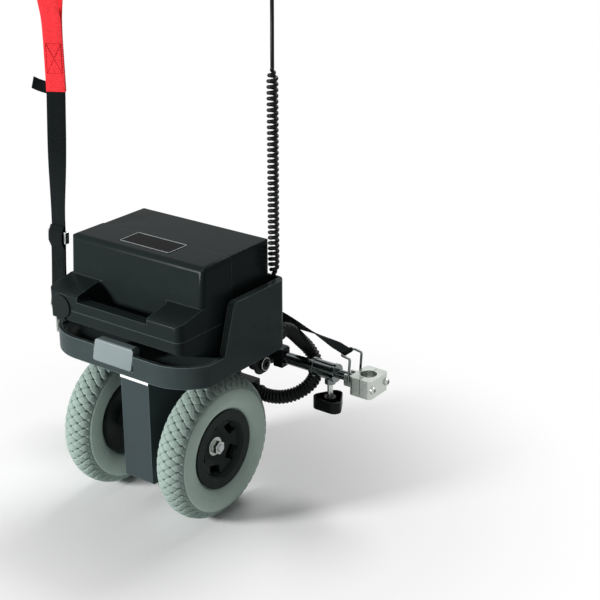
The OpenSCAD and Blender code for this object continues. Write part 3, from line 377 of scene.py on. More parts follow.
def finish(name, color, rough, metal=0.0, vary=0.12, cloud=25, grain=0.0, fine=1600, depth=0.0001,
           spec=0.5, roughVary=0.06, streak=(1, 1, 1), edgeHighlight=0.0):
    # a colour with a cloudy tone, uneven gloss and a fine grain, on Object coordinates
    m = bpy.data.materials.new(name)
    m.use_nodes = True
    tree = m.node_tree
    bsdf = tree.nodes["Principled BSDF"]
    bsdf.inputs["Metallic"].default_value = metal
    bsdf.inputs["Specular IOR Level"].default_value = spec
    where = addNode(tree, "ShaderNodeTexCoord")
    spread = addNode(tree, "ShaderNodeMapping", {"Scale": streak})
    tone = addNode(tree, "ShaderNodeTexNoise", {"Scale": cloud, "Detail": 5})
    dark, pale = [[min(1, c * (1 + k * vary)) for c in color] for k in (-1, 1)]
    mix = addNode(tree, "ShaderNodeMix", {"A": (*dark, 1), "B": (*pale, 1)}, data_type="RGBA")
    gloss = addNode(tree, "ShaderNodeMapRange", {
        "From Min": 0.3, "From Max": 0.7,
        "To Min": max(0.02, rough - roughVary), "To Max": min(1, rough + roughVary)})
    wire(tree,
         (where, "Object", spread, "Vector"), (spread, "Vector", tone, "Vector"),
         (tone, "Fac", mix, "Factor"), (mix, "Result", bsdf, "Base Color"),
         (tone, "Fac", gloss, "Value"), (gloss, "Result", bsdf, "Roughness"))
    # painted highlight along the rounded edges
    if edgeHighlight:
        paintEdgeHighlights(tree, mix, bsdf, color, edgeHighlight)
    if grain:
        speck = addNode(tree, "ShaderNodeTexNoise", {"Scale": fine, "Detail": 2})
        bump = addNode(tree, "ShaderNodeBump", {"Strength": grain, "Distance": depth})
        wire(tree,
             (spread, "Vector", speck, "Vector"), (speck, "Fac", bump, "Height"), (bump, "Normal", bsdf, "Normal"))
    return m


webGrain = {"run": 0.0013, "rise": 0.0026, "tint": 0.5, "bump": 0.6, "depth": 0.0002, "sheen": 0.02}


def weave(name, color, edge):
    # twilled webbing on the band's own UV, which is in metres
    m = finish(name, color, 0.85, vary=0.2, cloud=60, spec=0.03)
    tree = m.node_tree
    bsdf = tree.nodes["Principled BSDF"]
    bsdf.inputs["Sheen Weight"].default_value = webGrain["sheen"]
    base = bsdf.inputs["Base Color"].links[0].from_socket
    uv = addNode(tree, "ShaderNodeUVMap")
    split = addNode(tree, "ShaderNodeSeparateXYZ")
    both = addNode(tree, "ShaderNodeMath", operation="MULTIPLY")
    wire(tree, (uv, "UV", split, "Vector"))
    for k, (axis, length) in enumerate((("X", webGrain["run"]), ("Y", webGrain["rise"]))):
        turns = addNode(tree, "ShaderNodeMath", {1: 2 * math.pi / length}, operation="MULTIPLY")
        wave = addNode(tree, "ShaderNodeMath", operation="SINE")
        wire(tree, (split, axis, turns, 0), (turns, "Value", wave, 0), (wave, "Value", both, k))
    level = addNode(tree, "ShaderNodeMapRange", {"From Min": -1})
    soft = addNode(tree, "ShaderNodeMath", {1: webGrain["tint"]}, operation="MULTIPLY")
    tint = addNode(tree, "ShaderNodeMix", {"B": (*edge, 1)}, data_type="RGBA")
    bump = addNode(tree, "ShaderNodeBump", {"Strength": webGrain["bump"], "Distance": webGrain["depth"]})
    tree.links.new(base, tint.inputs["A"])
    wire(tree,
         (both, "Value", level, "Value"), (level, "Result", soft, 0), (soft, "Value", tint, "Factor"),
         (tint, "Result", bsdf, "Base Color"), (level, "Result", bump, "Height"), (bump, "Normal", bsdf, "Normal"))
    return m


# edgeHighlight sets how strong the painted edge highlights are
paintLook = {
    "tyreGrey": dict(color=(0.455, 0.575, 0.513), rough=0.7, vary=0.07, cloud=45, grain=0.25, fine=900,
                     spec=0.12),
    "tyreKnob": dict(color=(0.268, 0.345, 0.312), rough=0.7, vary=0.14, cloud=70, grain=0.25, fine=900,
                     spec=0.1),
    # near black: painted shade in the tread's grooves
    "tyreGrooveShade": dict(color=(0.035, 0.055, 0.058), rough=0.8, vary=0.2, cloud=120, grain=0.3, fine=900,
                       spec=0.05),
    "rimBlack": dict(color=(0.021, 0.029, 0.0275), rough=0.4, vary=0.2, grain=0.2, fine=1400, spec=0.06),
    "zinc": dict(color=(0.50, 0.53, 0.50), rough=0.25, metal=1, vary=0.06, cloud=60, grain=0.04, fine=500),
    "steel": dict(color=(0.50, 0.51, 0.53), rough=0.3, metal=1, vary=0.08, cloud=200, streak=(0.2, 6, 6)),
    "bronze": dict(color=(0.60, 0.38, 0.14), rough=0.35, metal=1, vary=0.1, cloud=90),
    "castAlloy": dict(color=(0.42, 0.44, 0.46), rough=0.55, metal=0.9, grain=0.35, fine=500, vary=0.1),
    "legPaint": dict(color=(0.036, 0.050, 0.054), rough=0.4, vary=0.08, grain=0.3, fine=700, depth=0.00012,
                     spec=0.1, edgeHighlight=0.5),
    # near-white paint: painted highlight on the leg's shoulder
    "legHighlightPaint": dict(color=(0.90, 0.93, 0.93), rough=0.35, vary=0.04, spec=0.4),
    "blackPaint": dict(color=(0.008, 0.010, 0.011), rough=0.36, vary=0.15, grain=0.25, fine=700, spec=0.1),
    "slatePad": dict(color=(0.17, 0.21, 0.225), rough=0.5, vary=0.1, grain=0.3, fine=700, spec=0.2),
    "trayPlastic": dict(color=(0.040, 0.053, 0.053), rough=0.26, vary=0.12, grain=0.12, fine=1300, spec=0.012,
                        edgeHighlight=0.8),
    "casePlastic": dict(color=(0.0134, 0.0185, 0.0185), rough=0.24, vary=0.14, grain=0.12, fine=1300, spec=0.018,
                        edgeHighlight=0.8),
    "panelGloss": dict(color=(0.0025, 0.003, 0.003), rough=0.24, vary=0.2, spec=0.012, roughVary=0.03),
    # mid grey: painted highlight on the panel's raised frame
    "panelEdgeHighlight": dict(color=(0.30, 0.33, 0.33), rough=0.4, vary=0.1, spec=0.2),
    "buttonSilver": dict(color=(0.155, 0.195, 0.20), rough=0.36, vary=0.06, grain=0.15, fine=1500, spec=0.3),
    "cellCase": dict(color=(0.10, 0.11, 0.13), rough=0.5, vary=0.1, grain=0.2),
    "blackPlastic": dict(color=(0.007, 0.0085, 0.0085), rough=0.36, vary=0.15, grain=0.3, fine=1300, spec=0.08),
    "softRubber": dict(color=(0.0095, 0.014, 0.0135), rough=0.5, vary=0.15, grain=0.25, spec=0.05),
    # dark metal: painted reflection of a dark room, so that only the lamps show bright on it
    "chrome": dict(color=(0.16, 0.18, 0.18), rough=0.13, metal=1, vary=0.05, cloud=60, roughVary=0.03),
    "cordJacket": dict(color=(0.006, 0.0072, 0.0074), rough=0.3, vary=0.15, grain=0.1, fine=1200, spec=0.12),
    "conduitPlastic": dict(color=(0.006, 0.0075, 0.0075), rough=0.38, vary=0.15, grain=0.2, spec=0.1),
    "leverRed": dict(color=(0.55, 0.02, 0.02), rough=0.3, vary=0.08, grain=0.15, spec=0.3),
    "thread": dict(color=(0.022, 0.024, 0.025), rough=0.8, vary=0.2, spec=0.1),
    "threadRed": dict(color=(0.55, 0.015, 0.02), rough=0.8, vary=0.15, spec=0.1),
}
webLook = {
    "webBlack": dict(color=(0.005, 0.0068, 0.007), edge=(0.014, 0.018, 0.0185)),
    "webRed": dict(color=(0.80, 0.030, 0.040), edge=(0.90, 0.07, 0.075)),
}
paint = {name: finish(name, **look) for name, look in paintLook.items()}
paint.update({name: weave(name, **look) for name, look in webLook.items()})
print("stage: finishes")


# camera and stage

shot = {"place": (1.11962, -1.26599, 0.96577), "azimuth": 36.07, "elevation": 22.265, "lens": 81.24,
        "sensor": 36, "reach": 60}
camera = linkNew("camera", bpy.data.cameras.new("camera"))
camera.location = shot["place"]
camera.rotation_euler = (math.radians(90 - shot["elevation"]), 0, math.radians(shot["azimuth"]))
camera.data.lens = shot["lens"]
camera.data.sensor_width = shot["sensor"]
camera.data.clip_end = shot["reach"]
scene.camera = camera
scene.view_settings.view_transform = "Standard"

lamps = {
    "key": {"place": (-1.3, -2.3, 0.9), "size": 0.6, "power": 96},
    "fill": {"place": (2.3, -1.1, 1.2), "size": 1.4, "power": 1},
    "back": {"place": (-0.1, 1.6, 2.4), "size": 1.4, "power": 42},
}
lampAim = Vector((0, 0, 0.25))
for label, lamp in lamps.items():
    data = bpy.data.lights.new(label, "AREA")
    data.shape, data.size, data.energy = "DISK", lamp["size"], lamp["power"]
    obj = linkNew(label, data)
    obj.location = lamp["place"]
    obj.rotation_euler = (lampAim - Vector(lamp["place"])).to_track_quat("-Z", "Y").to_euler()


def seenDirectly(tree):
    # 1 for camera, glossy and transmission rays, which show the background itself
    rays = addNode(tree, "ShaderNodeLightPath")
    first = addNode(tree, "ShaderNodeMath", operation="MAXIMUM")
    both = addNode(tree, "ShaderNodeMath", operation="MAXIMUM")
    wire(tree,
         (rays, "Is Camera Ray", first, 0), (rays, "Is Glossy Ray", first, 1),
         (first, "Value", both, 0), (rays, "Is Transmission Ray", both, 1))
    return both


room = {"light": 0.13, "shown": 1.0}
world = bpy.data.worlds.new("room")
scene.world = world
world.use_nodes = True
wTree = world.node_tree
sky = wTree.nodes["Background"]
sky.inputs["Color"].default_value = (1, 1, 1, 1)
strength = addNode(wTree, "ShaderNodeMapRange", {"To Min": room["light"], "To Max": room["shown"]})
wire(wTree, (seenDirectly(wTree), "Value", strength, "Value"), (strength, "Result", sky, "Strength"))

# the floor keeps the shadow near the object and runs out to white further off
floorMake = {"half": 9, "fadeFrom": 0.15, "fadeTo": 0.6, "tone": 0.80, "shown": 0.96, "rough": 0.9, "spec": 0.05}
floorPaint = bpy.data.materials.new("floorPaint")
floorPaint.use_nodes = True
fTree = floorPaint.node_tree
fBsdf = fTree.nodes["Principled BSDF"]
fBsdf.inputs["Roughness"].default_value = floorMake["rough"]
fBsdf.inputs["Specular IOR Level"].default_value = floorMake["spec"]
fWhere = addNode(fTree, "ShaderNodeTexCoord")
fFar = addNode(fTree, "ShaderNodeVectorMath", operation="LENGTH")
fFade = addNode(fTree, "ShaderNodeMapRange", {"From Min": floorMake["fadeFrom"], "From Max": floorMake["fadeTo"]},
                interpolation_type="SMOOTHSTEP")
fSeen = seenDirectly(fTree)
fPart = addNode(fTree, "ShaderNodeMath", operation="MULTIPLY")
fTone = addNode(fTree, "ShaderNodeMix", {"A": (*[floorMake["tone"]] * 3, 1), "B": (*[floorMake["shown"]] * 3, 1)},
                data_type="RGBA")
fWhite = addNode(fTree, "ShaderNodeEmission")
fMix = addNode(fTree, "ShaderNodeMixShader")
wire(fTree,
     (fWhere, "Object", fFar, 0), (fFar, "Value", fFade, "Value"),
     (fSeen, "Value", fPart, 0), (fFade, "Result", fPart, 1),
     (fSeen, "Value", fTone, "Factor"), (fTone, "Result", fBsdf, "Base Color"),
     (fPart, "Value", fMix, "Fac"), (fBsdf, "BSDF", fMix, 1), (fWhite, "Emission", fMix, 2),
     (fMix, "Shader", fTree.nodes["Material Output"], "Surface"))
corners = [(x * floorMake["half"], y * floorMake["half"], 0) for x, y in ((-1, -1), (1, -1), (1, 1), (-1, 1))]
floor = addObject("floor", corners, [(0, 1, 2, 3)], floorPaint, smooth=False)
print("stage: camera, lamps and floor")


# cords first: the curly cord and the ribbed conduit

cordMake = {
    "x": 116, "y": 54, "foot": 254, "curlFrom": 322, "curlTo": 600, "top": 702,
    "lean": (5, -7), "leanFrom": 318, "leanTo": 334, "backFrom": 606, "backTo": 672,
    "curls": 38, "reach": 5.2, "thick": 5.0, "easeIn": 2.5, "easeOut": 2, "perTurn": 20, "sides": 12,
    "step": 6, "footSteps": 12, "topSteps": 16,
}


def curlyPath(c):
    # straight foot, a lean to clear the battery as it lifts, tight curls, straight top
    def middle(z):
        lean = smoothStep(c["leanFrom"], c["leanTo"], z) - smoothStep(c["backFrom"], c["backTo"], z)
        return Vector((c["x"] + c["lean"][0] * lean, c["y"] + c["lean"][1] * lean, z))

    pts = [middle(c["foot"] + c["step"] * k) for k in range(c["footSteps"])]
    for i in range(c["curls"] * c["perTurn"] + 1):
        t = i / c["perTurn"]
        r = c["reach"] * smoothStep(0, c["easeIn"], t) * smoothStep(0, c["easeOut"], c["curls"] - t)
        a = 2 * math.pi * t
        z = c["curlFrom"] + (c["curlTo"] - c["curlFrom"]) * t / c["curls"]
        pts.append(middle(z) + r * Vector((math.cos(a), math.sin(a), 0)))
    pts += [middle(c["curlTo"] + c["step"] * k) for k in range(1, c["topSteps"] + 1)]
    pts.append(middle(c["top"]))
    return [p * mm for p in pts]


cordPath = curlyPath(cordMake)
curlyCord = tube("curlyCord", cordPath, [cordMake["thick"] / 2 * mm] * len(cordPath), cordMake["sides"],
                 paint["cordJacket"], first=rightward)
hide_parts("curly_cord")
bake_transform(curlyCord)

hose = {
    "points": [
        (68.2, 72, 132), (80, 72, 132), (96, 73, 132), (114, 77, 135), (129, 86, 141), (138, 100, 149),
        (139, 114, 157), (134, 126, 167), (126, 131, 179), (118, 128, 192), (113, 119, 204),
        (111, 108, 216), (110, 96, 227), (110, 84, 232.5), (110, 73, 233), (110, 63.2, 233),
    ],
    "ribs": 46, "radius": 10.0, "valley": 8.1, "fullness": 0.6, "perRib": 8, "sides": 28, "step": 2,
}
hoseLine = smoothLine([Vector(p) * mm for p in hose["points"]], hose["step"] * mm)
hoseLine = evenly(hoseLine, lineLength(hoseLine) / (hose["ribs"] * hose["perRib"]))
hoseRadii = []
for i in range(len(hoseLine)):
    crest = 0.5 + 0.5 * math.cos(2 * math.pi * i / hose["perRib"])
    hoseRadii.append((hose["valley"] + (hose["radius"] - hose["valley"]) * crest ** hose["fullness"]) * mm)
conduit = tube("conduitHose", hoseLine, hoseRadii, hose["sides"], paint["conduitPlastic"])
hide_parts("conduit")
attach(conduit, "pack")
print("stage: conduit")


# tyres: lathed carcass and a tread of diamond knobs

tyre = {
    "centre": (83, -40, 100), "ring": 75, "section": 25, "base": 22.9, "treadTo": 59, "treadFade": 8,
    "wallTo": 140, "wallStep": 4, "wallRings": ((96, 101), (112, 117)), "ringHigh": 0.35,
    "bead": [(55.4, 15.4), (48.8, 15.1), (48.8, -15.1), (55.4, -15.4)], "segments": 160,
    "columns": 5, "columnStep": 22.5, "perRound": 48, "knobHeight": 2.2, "knobLong": 12.3, "knobWide": 18.4,
    "knobRows": [(0.43, -0.35), (0.43, 0.45), (0.36, 0.9), (0.26, 1.0)], "knobBlunt": 0.12, "knobCrown": 1.03,
    "border": {"angle": 60.5, "long": 0.85, "wide": 0.5, "high": 0.75},
}


def carcassProfile(t):
    # closed section: tread band cut back to the blocks' feet, smooth side walls, bead at the rim
    pts = []
    for a in range(-t["wallTo"], t["wallTo"] + 1, t["wallStep"]):
        full = smoothStep(t["treadTo"], t["treadTo"] + t["treadFade"], abs(a))
        r = t["base"] + (t["section"] - t["base"]) * full
        if any(low < abs(a) < high for low, high in t["wallRings"]):
            r += t["ringHigh"]
        pts.append((t["ring"] + r * math.cos(math.radians(a)), r * math.sin(math.radians(a))))
    return [(r * mm, u * mm) for r, u in pts + t["bead"]]


def knobPiece(t):
    # one diamond block, one unit long and high, bent to the section's round across
    rows, blunt = t["knobRows"], t["knobBlunt"]
    bow = t["knobWide"] / t["section"]
    plan = [(sx, sy, k) for sx, sy in ((1, 0), (0, 1), (-1, 0), (0, -1)) for k in (-1, 1)]
    size = len(plan)
    verts = []
    for reach, high in rows:
        for sx, sy, k in plan:
            x = sx * reach - (0 if sx else k * sy * blunt)
            y = sy * reach + (0 if sy else k * sx * blunt)
            drop = (y * bow) ** 2 * t["section"] / 2 / t["knobHeight"]
            verts.append((x, y, high - drop))
    verts.append((0, 0, t["knobCrown"]))
    last = (len(rows) - 1) * size
    faces = ringFaces(len(rows), size)
    faces += [(last + j, last + (j + 1) % size, len(verts) - 1) for j in range(size)]
    faces.append(tuple(range(size - 1, -1, -1)))
    return outwards(addObject("knobPiece", verts, faces, None), sharp=40)


def makeTyre(side, label):
    t = tyre
    centre = Vector((side * t["centre"][0], t["centre"][1], t["centre"][2])) * mm

    def spot(f, a):
        # a block's place, outward and around, at f round the axle and a across the section
        radial, along = Vector((0, math.cos(f), math.sin(f))), Vector((0, -math.sin(f), math.cos(f)))
        out = radial * math.cos(a) + Vector((side, 0, 0)) * math.sin(a)
        return centre + (radial * t["ring"] + out * t["base"]) * mm, out, along

    carcass = lathe("tyreCarcass" + label, carcassProfile(t), centre, side, t["segments"], paint["tyreGrey"],
                    sharp=50)
    # the tread band under the blocks is near black: painted shade in the grooves
    carcass.data.materials.append(paint["tyreGrooveShade"])
    treadEdge = math.radians(t["treadTo"])
    grooveFrom, grooveHalf = (t["ring"] + t["base"] * math.cos(treadEdge)) * mm, t["base"] * math.sin(treadEdge) * mm
    for face in carcass.data.polygons:
        d = face.center - centre
        if math.hypot(d.y, d.z) > grooveFrom and abs(d.x) < grooveHalf:
            face.material_index = 1
    pitch = 2 * math.pi / t["perRound"]
    half = t["columns"] // 2
    spots = [spot(pitch * (k + 0.5 * (c % 2)), math.radians(c * t["columnStep"]))
             for c in range(-half, half + 1) for k in range(t["perRound"])]
    knob = knobPiece(t)
    size = (t["knobLong"] * mm, t["knobWide"] * mm, t["knobHeight"] * mm)
    tread = setOnPoints("tyreTread" + label, knob, spots, size, paint["tyreKnob"])
    edge = t["border"]
    spots = [spot(pitch * (k + 0.5), math.radians(hand * edge["angle"]))
             for k in range(t["perRound"]) for hand in (-1, 1)]
    small = (size[0] * edge["long"], size[1] * edge["wide"], size[2] * edge["high"])
    border = setOnPoints("tyreBorder" + label, knob, spots, small, paint["tyreKnob"])
    dropHelper(knob)
    for piece in (carcass, tread, border):
        fasten(piece, "wheels")
    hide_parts("tyre_" + label.lower())


for side, label in bothSides:
    makeTyre(side, label)
print("stage: tyres")


# straps; rows are (height, distance from the band's own line)

lift = {
    "x": -143, "y0": -86, "z0": 264, "y1": -65, "z1": 566, "width": 25, "thick": 1.5, "step": 0.65,
    "turn": 30, "turnFrom": 385, "turnTo": 500,
    "front": [(372, -1.7), (350, -1.0), (320, -0.9), (286, -1.6)],
    "fold": [(4, -3.1), (-2.17, -2.325), (-3.1, 0), (-2.17, 2.325), (4, 3.1)],  # round the ring, from z0 and y0
    "back": [(286, 1.6), (320, 0.9), (350, 0.9), (372, 0.6),
             (400, 0), (440, 0), (480, 0), (520, 0), (552, 0), (566, 0)],
}


def liftAt(z):
    s = lift
    return s["y0"] + (s["y1"] - s["y0"]) * (z - s["z0"]) / (s["z1"] - s["z0"])


def besideLift(rows):
    return [(liftAt(z) + off, z) for z, off in rows]


def strapSide(points):
    return smoothLine([Vector((lift["x"], y, z)) * mm for y, z in points], lift["step"] * mm)


def strapTurn(z):
    # the band turns a little about its own line above the slider
    a = math.radians(lift["turn"]) * smoothStep(lift["turnFrom"], lift["turnTo"], z)
    return Vector((math.cos(a), math.sin(a), 0))


def turnAside(v):
    a = math.radians(lift["turn"])
    return Vector((v.x * math.cos(a) - v.y * math.sin(a), v.x * math.sin(a) + v.y * math.cos(a), v.z))


def turned(points):
    # the same turn for what hangs at the band's top
    mid = Vector((lift["x"], lift["y1"], 0)) * mm
    return [mid + turnAside(p - mid) for p in points]


foldPts = [(lift["y0"] + off, lift["z0"] + z) for z, off in lift["fold"]]
path = strapSide(besideLift(lift["front"]) + foldPts + besideLift(lift["back"]))
liftStrap = ribbon("liftStrap", path, [strapTurn(p.z / mm) for p in path], lift["width"] * mm, lift["thick"] * mm,
                   paint["webBlack"])
liftLength = lineLength(path)
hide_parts("lift_strap")
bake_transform(liftStrap)
print("stage: lift strap, length", round(liftLength, 3), "m")

keeperMake = {
    "rows": [(346, -1.9), (350, -3.6), (354, -5.6), (361, -6.0), (368, -5.6), (372, -3.6), (376, -1.7)],
    "width": 24.6, "thick": 1.2,
}
path = strapSide(besideLift(keeperMake["rows"]))
keeper = ribbon("strapKeeper", path, [rightward] * len(path), keeperMake["width"] * mm, keeperMake["thick"] * mm,
                paint["webBlack"])
fasten(keeper, "crossbar")

tailMake = {
    "points": [(-143, -62.8, 556), (-150, -62.6, 557), (-158, -62.9, 559), (-166, -64.5, 562), (-173, -67, 566)],
    "across": (0.25, 0.1, 1), "width": 16, "thick": 1.4,
}
path = turned(smoothLine([Vector(p) * mm for p in tailMake["points"]], lift["step"] * mm))
tail = ribbon("strapTail", path, [Vector(tailMake["across"])] * len(path), tailMake["width"] * mm,
              tailMake["thick"] * mm, paint["webBlack"])
fasten(tail, "crossbar")

loopMake = {
    "rows": [(-12, -1.7), (0, -1.7), (30, -1.4), (60, -1.2), (84, -4), (108, -14), (132, -18), (150, -13), (158, 0),
             (150, 13), (132, 18), (108, 14), (84, 5), (60, 1.6), (30, 1.5), (0, 1.7), (-12, 1.7)],
    "gap": 0.1, "width": 25.2, "thick": 1.6,
}
loopPts = [(lift["y1"] + off, lift["z1"] + loopMake["gap"] + z) for z, off in loopMake["rows"]]
path = turned(strapSide(loopPts))
pullLoop = ribbon("pullLoop", path, [strapTurn(p.z / mm) for p in path], loopMake["width"] * mm,
                  loopMake["thick"] * mm, paint["webRed"])
loopLength = lineLength(path)
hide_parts("pull_loop")
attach(pullLoop, "crossbar")
print("stage: pull loop, length", round(loopLength, 3), "m")

pull = {
    "end": 201, "bar": (102, 181), "bow": 26, "rise": (48, 12), "width": 20, "thick": 1.5, "split": 0.70,
    "firstTurn": 60, "twistFrom": 70, "twistOver": 110, "clear": 2.6, "step": 0.65,
    "eye": {"high": 36, "radius": 2.75, "from": 200, "sweep": 340, "steps": 27, "thick": 1.4},
}


def pullPoint(x):
    q = (x / pull["end"]) ** 2
    high, fall = pull["rise"]
    return Vector((x, pull["bar"][0] + pull["bow"] * (1 - q), pull["bar"][1] + high - fall * q)) * mm


def pullAcross(x):
    if x < pull["twistFrom"]:
        a = 90 * min(1, (x + pull["end"]) / pull["firstTurn"])
    else:
        a = 90 + 90 * min(1, (x - pull["twistFrom"]) / pull["twistOver"])
    return Vector((0, math.cos(math.radians(a)), math.sin(math.radians(a))))


def pullBand(name, x0, x1):
    count = round(abs(x1 - x0) / pull["step"])
    xs = [x0 + (x1 - x0) * i / count for i in range(count + 1)]
    return ribbon(name, [pullPoint(x) for x in xs], [pullAcross(x) for x in xs], pull["width"] * mm,
                  pull["thick"] * mm, paint["webBlack"])


def pullEye(name, side):
    # the sewn eye round the bail's cross bar
    eye = pull["eye"]
    centre = Vector((side * pull["end"], pull["bar"][0], pull["bar"][1] + eye["high"]))
    line = []
    for k in range(eye["steps"] + 1):
        a = math.radians(eye["from"] - eye["sweep"] * k / eye["steps"])
        line.append((centre + eye["radius"] * Vector((side * math.cos(a), 0, math.sin(a)))) * mm)
    return ribbon(name, line, [Vector((0, 1, 0))] * len(line), pull["width"] * mm, eye["thick"] * mm,
                  paint["webBlack"], rib=0)


for side, label in bothSides:
    low = label.lower()
    edge = pull["end"] * pull["split"]
    inner = pullBand("releaseStrap" + label, *sorted((0, side * edge)))
    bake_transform(inner)
    outer = pullBand("releaseStrapEnd" + label, *sorted((side * edge, side * (pull["end"] - pull["clear"]))))
    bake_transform(outer)
    fasten(pullEye("releaseStrapEye" + label, side), "catch_" + low)
    if side > 0:
        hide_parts("release_strap")
print("stage: release strap")

spring = {"place": (0, -127, 236), "turns": 7, "pitch": 2.0, "radius": 4.0, "wire": 0.6, "perTurn": 24, "sides": 8}
springPath = []
for i in range(spring["turns"] * spring["perTurn"] + 1):
    t = i / spring["perTurn"]
    a = 2 * math.pi * t
    coil = Vector((spring["radius"] * math.cos(a), spring["pitch"] * t, spring["radius"] * math.sin(a)))
    springPath.append((Vector(spring["place"]) + coil) * mm)
latchSpring = tube("latchSpringCoil", springPath, [spring["wire"] * mm] * len(springPath), spring["sides"],
                   paint["steel"], first=Vector((0, 1, 0)))
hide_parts("latch_spring")
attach(latchSpring, "pack")
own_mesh(latchSpring)
print("stage: latch spring")


# small pieces: plates, trims, screws and stitches

def roundBox(name, low, high, edge, material):
    # plate with rounded edges between two corners, in millimetres
    bm = bmesh.new()
    bmesh.ops.create_cube(bm, size=1)
    for v in bm.verts:
        v.co = Vector([(a + b) / 2 + c * (b - a) for a, b, c in zip(low, high, v.co)]) * mm
    bmesh.ops.bevel(bm, geom=list(bm.edges), offset=edge * mm, segments=3, profile=0.5, affect="EDGES")
    mesh = meshFrom(name, bm)
    mesh.materials.append(material)
    return outwards(linkNew(name, mesh), sharp=35)


def cornerRing(x0, x1, y0, y1, r, steps=6):
    # outline of a rectangle with round corners
    pts = []
    for cx, cy, start in ((x1 - r, y1 - r, 0), (x0 + r, y1 - r, 90), (x0 + r, y0 + r, 180), (x1 - r, y0 + r, 270)):
        for k in range(steps + 1):
            a = math.radians(start + 90 / steps * k)
            pts.append((cx + r * math.cos(a), cy + r * math.sin(a)))
    return pts


def edgeTrim(name, box, r, width, z0, z1, material):
    # flat frame that follows a round-cornered outline
    x0, x1, y0, y1 = box
    outer = cornerRing(x0, x1, y0, y1, r)
    inner = cornerRing(x0 + width, x1 - width, y0 + width, y1 - width, max(0.4, r - width))
    n = len(outer)
    rings = ((outer, z0), (outer, z1), (inner, z1), (inner, z0))
    verts = [Vector((x, y, z)) * mm for ring, z in rings for x, y in ring]
    faces = []
    for a in range(4):
        b = (a + 1) % 4
        faces += [(a * n + i, a * n + (i + 1) % n, b * n + (i + 1) % n, b * n + i) for i in range(n)]
    return outwards(addObject(name, verts, faces, material), sharp=35)


def screwPiece(size=12):
    # button head with a six-sided socket, one unit in radius
    rows = [(1.0, -0.1), (1.0, 0.3), (0.88, 0.55), (0.6, 0.68), (0.5, 0.68), (0.46, 0.28)]
    socketFrom = 4
    verts = []
    for k, (r, z) in enumerate(rows):
        for j in range(size):
            flat = math.cos(math.radians(30)) if k >= socketFrom and j % 2 else 1
            a = 2 * math.pi * j / size
            verts.append((r * flat * math.cos(a), r * flat * math.sin(a), z))
    faces = ringFaces(len(rows), size)
    faces.append(tuple(range(size - 1, -1, -1)))
    faces.append(tuple((len(rows) - 1) * size + j for j in range(size)))
    return outwards(addObject("screwPiece", verts, faces, None), sharp=35)


def threadPiece(size=6):
    # one stitch, one unit long, bowed up in the middle
    rows = [(-0.5, 0.1), (-0.35, 0.3), (0, 0.4), (0.35, 0.3), (0.5, 0.1)]
    verts = []
    for x, r in rows:
        bow = 0.3 - 1.2 * x * x
        for j in range(size):
            a = 2 * math.pi * j / size
            verts.append((x, r * math.cos(a), bow + r * math.sin(a)))
    last = (len(rows) - 1) * size
    faces = [tuple(reversed(face)) for face in ringFaces(len(rows), size)]
    faces += [tuple(range(size)), tuple(last + j for j in range(size - 1, -1, -1))]
    return outwards(addObject("threadPiece", verts, faces, None))


hoseNuts = {
    "boxEnd": {"from": (68.1, 72, 132), "along": (1, 0, 0)},
    "trayEnd": {"from": (110, 63.1, 233), "along": (0, 1, 0)},
    "nut": (0, 7, 12.6), "collar": (7, 11, 11.6), "edge": 0.8,
}
for label in ("boxEnd", "trayEnd"):
    start, along = Vector(hoseNuts[label]["from"]), Vector(hoseNuts[label]["along"])
    edge = hoseNuts["edge"]
    pair = []
    for kind, count in (("nut", 6), ("collar", 24)):
        a, b, r = hoseNuts[kind]
        line = [(start + along * u) * mm for u in (a, a + edge, b - edge, b)]
        radii = [v * mm for v in (r - edge, r, r, r - edge)]
        pair.append(outwards(tube(kind, line, radii, count, paint["blackPlastic"]), sharp=30))
    fasten(joinPieces("hoseNut" + label[0].upper() + label[1:], pair), "pack")

# the panel's raised frame in mid grey: painted highlight along its border
trimMake = {"inset": 0.8, "corner": 2.6, "width": 1.3, "under": 0.1, "over": 0.25}
low, high = [[v / mm for v in corner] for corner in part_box("battery_panel")]
inset = trimMake["inset"]
trim = edgeTrim("panelTrim", (low[0] + inset, high[0] - inset, low[1] + inset, high[1] - inset), trimMake["corner"],
                trimMake["width"], high[2] - trimMake["under"], high[2] + trimMake["over"], paint["panelEdgeHighlight"])
fasten(trim, "battery")

# near-white folded strip over the leg's sloped shoulder, turned down at the front: painted highlight on the bent
# edge
legEdge = {"half": 24.4, "line": [(-98.1, 194.6), (-98.1, 198.1), (-84, 208.1)], "thick": 0.8, "lean": 0.5}
outline = legEdge["line"] + [(y - legEdge["lean"], z + legEdge["thick"]) for y, z in reversed(legEdge["line"][1:])]
outline.append((legEdge["line"][0][0] - legEdge["thick"], legEdge["line"][0][1]))
n = len(outline)
verts = [Vector((x, y, z)) * mm for x in (-legEdge["half"], legEdge["half"]) for y, z in outline]
faces = [tuple(range(n)), tuple(range(2 * n - 1, n - 1, -1))] + ringFaces(2, n)
highlightStrip = outwards(addObject("legEdge", verts, faces, paint["legHighlightPaint"]), sharp=25)
fasten(highlightStrip, "pack")

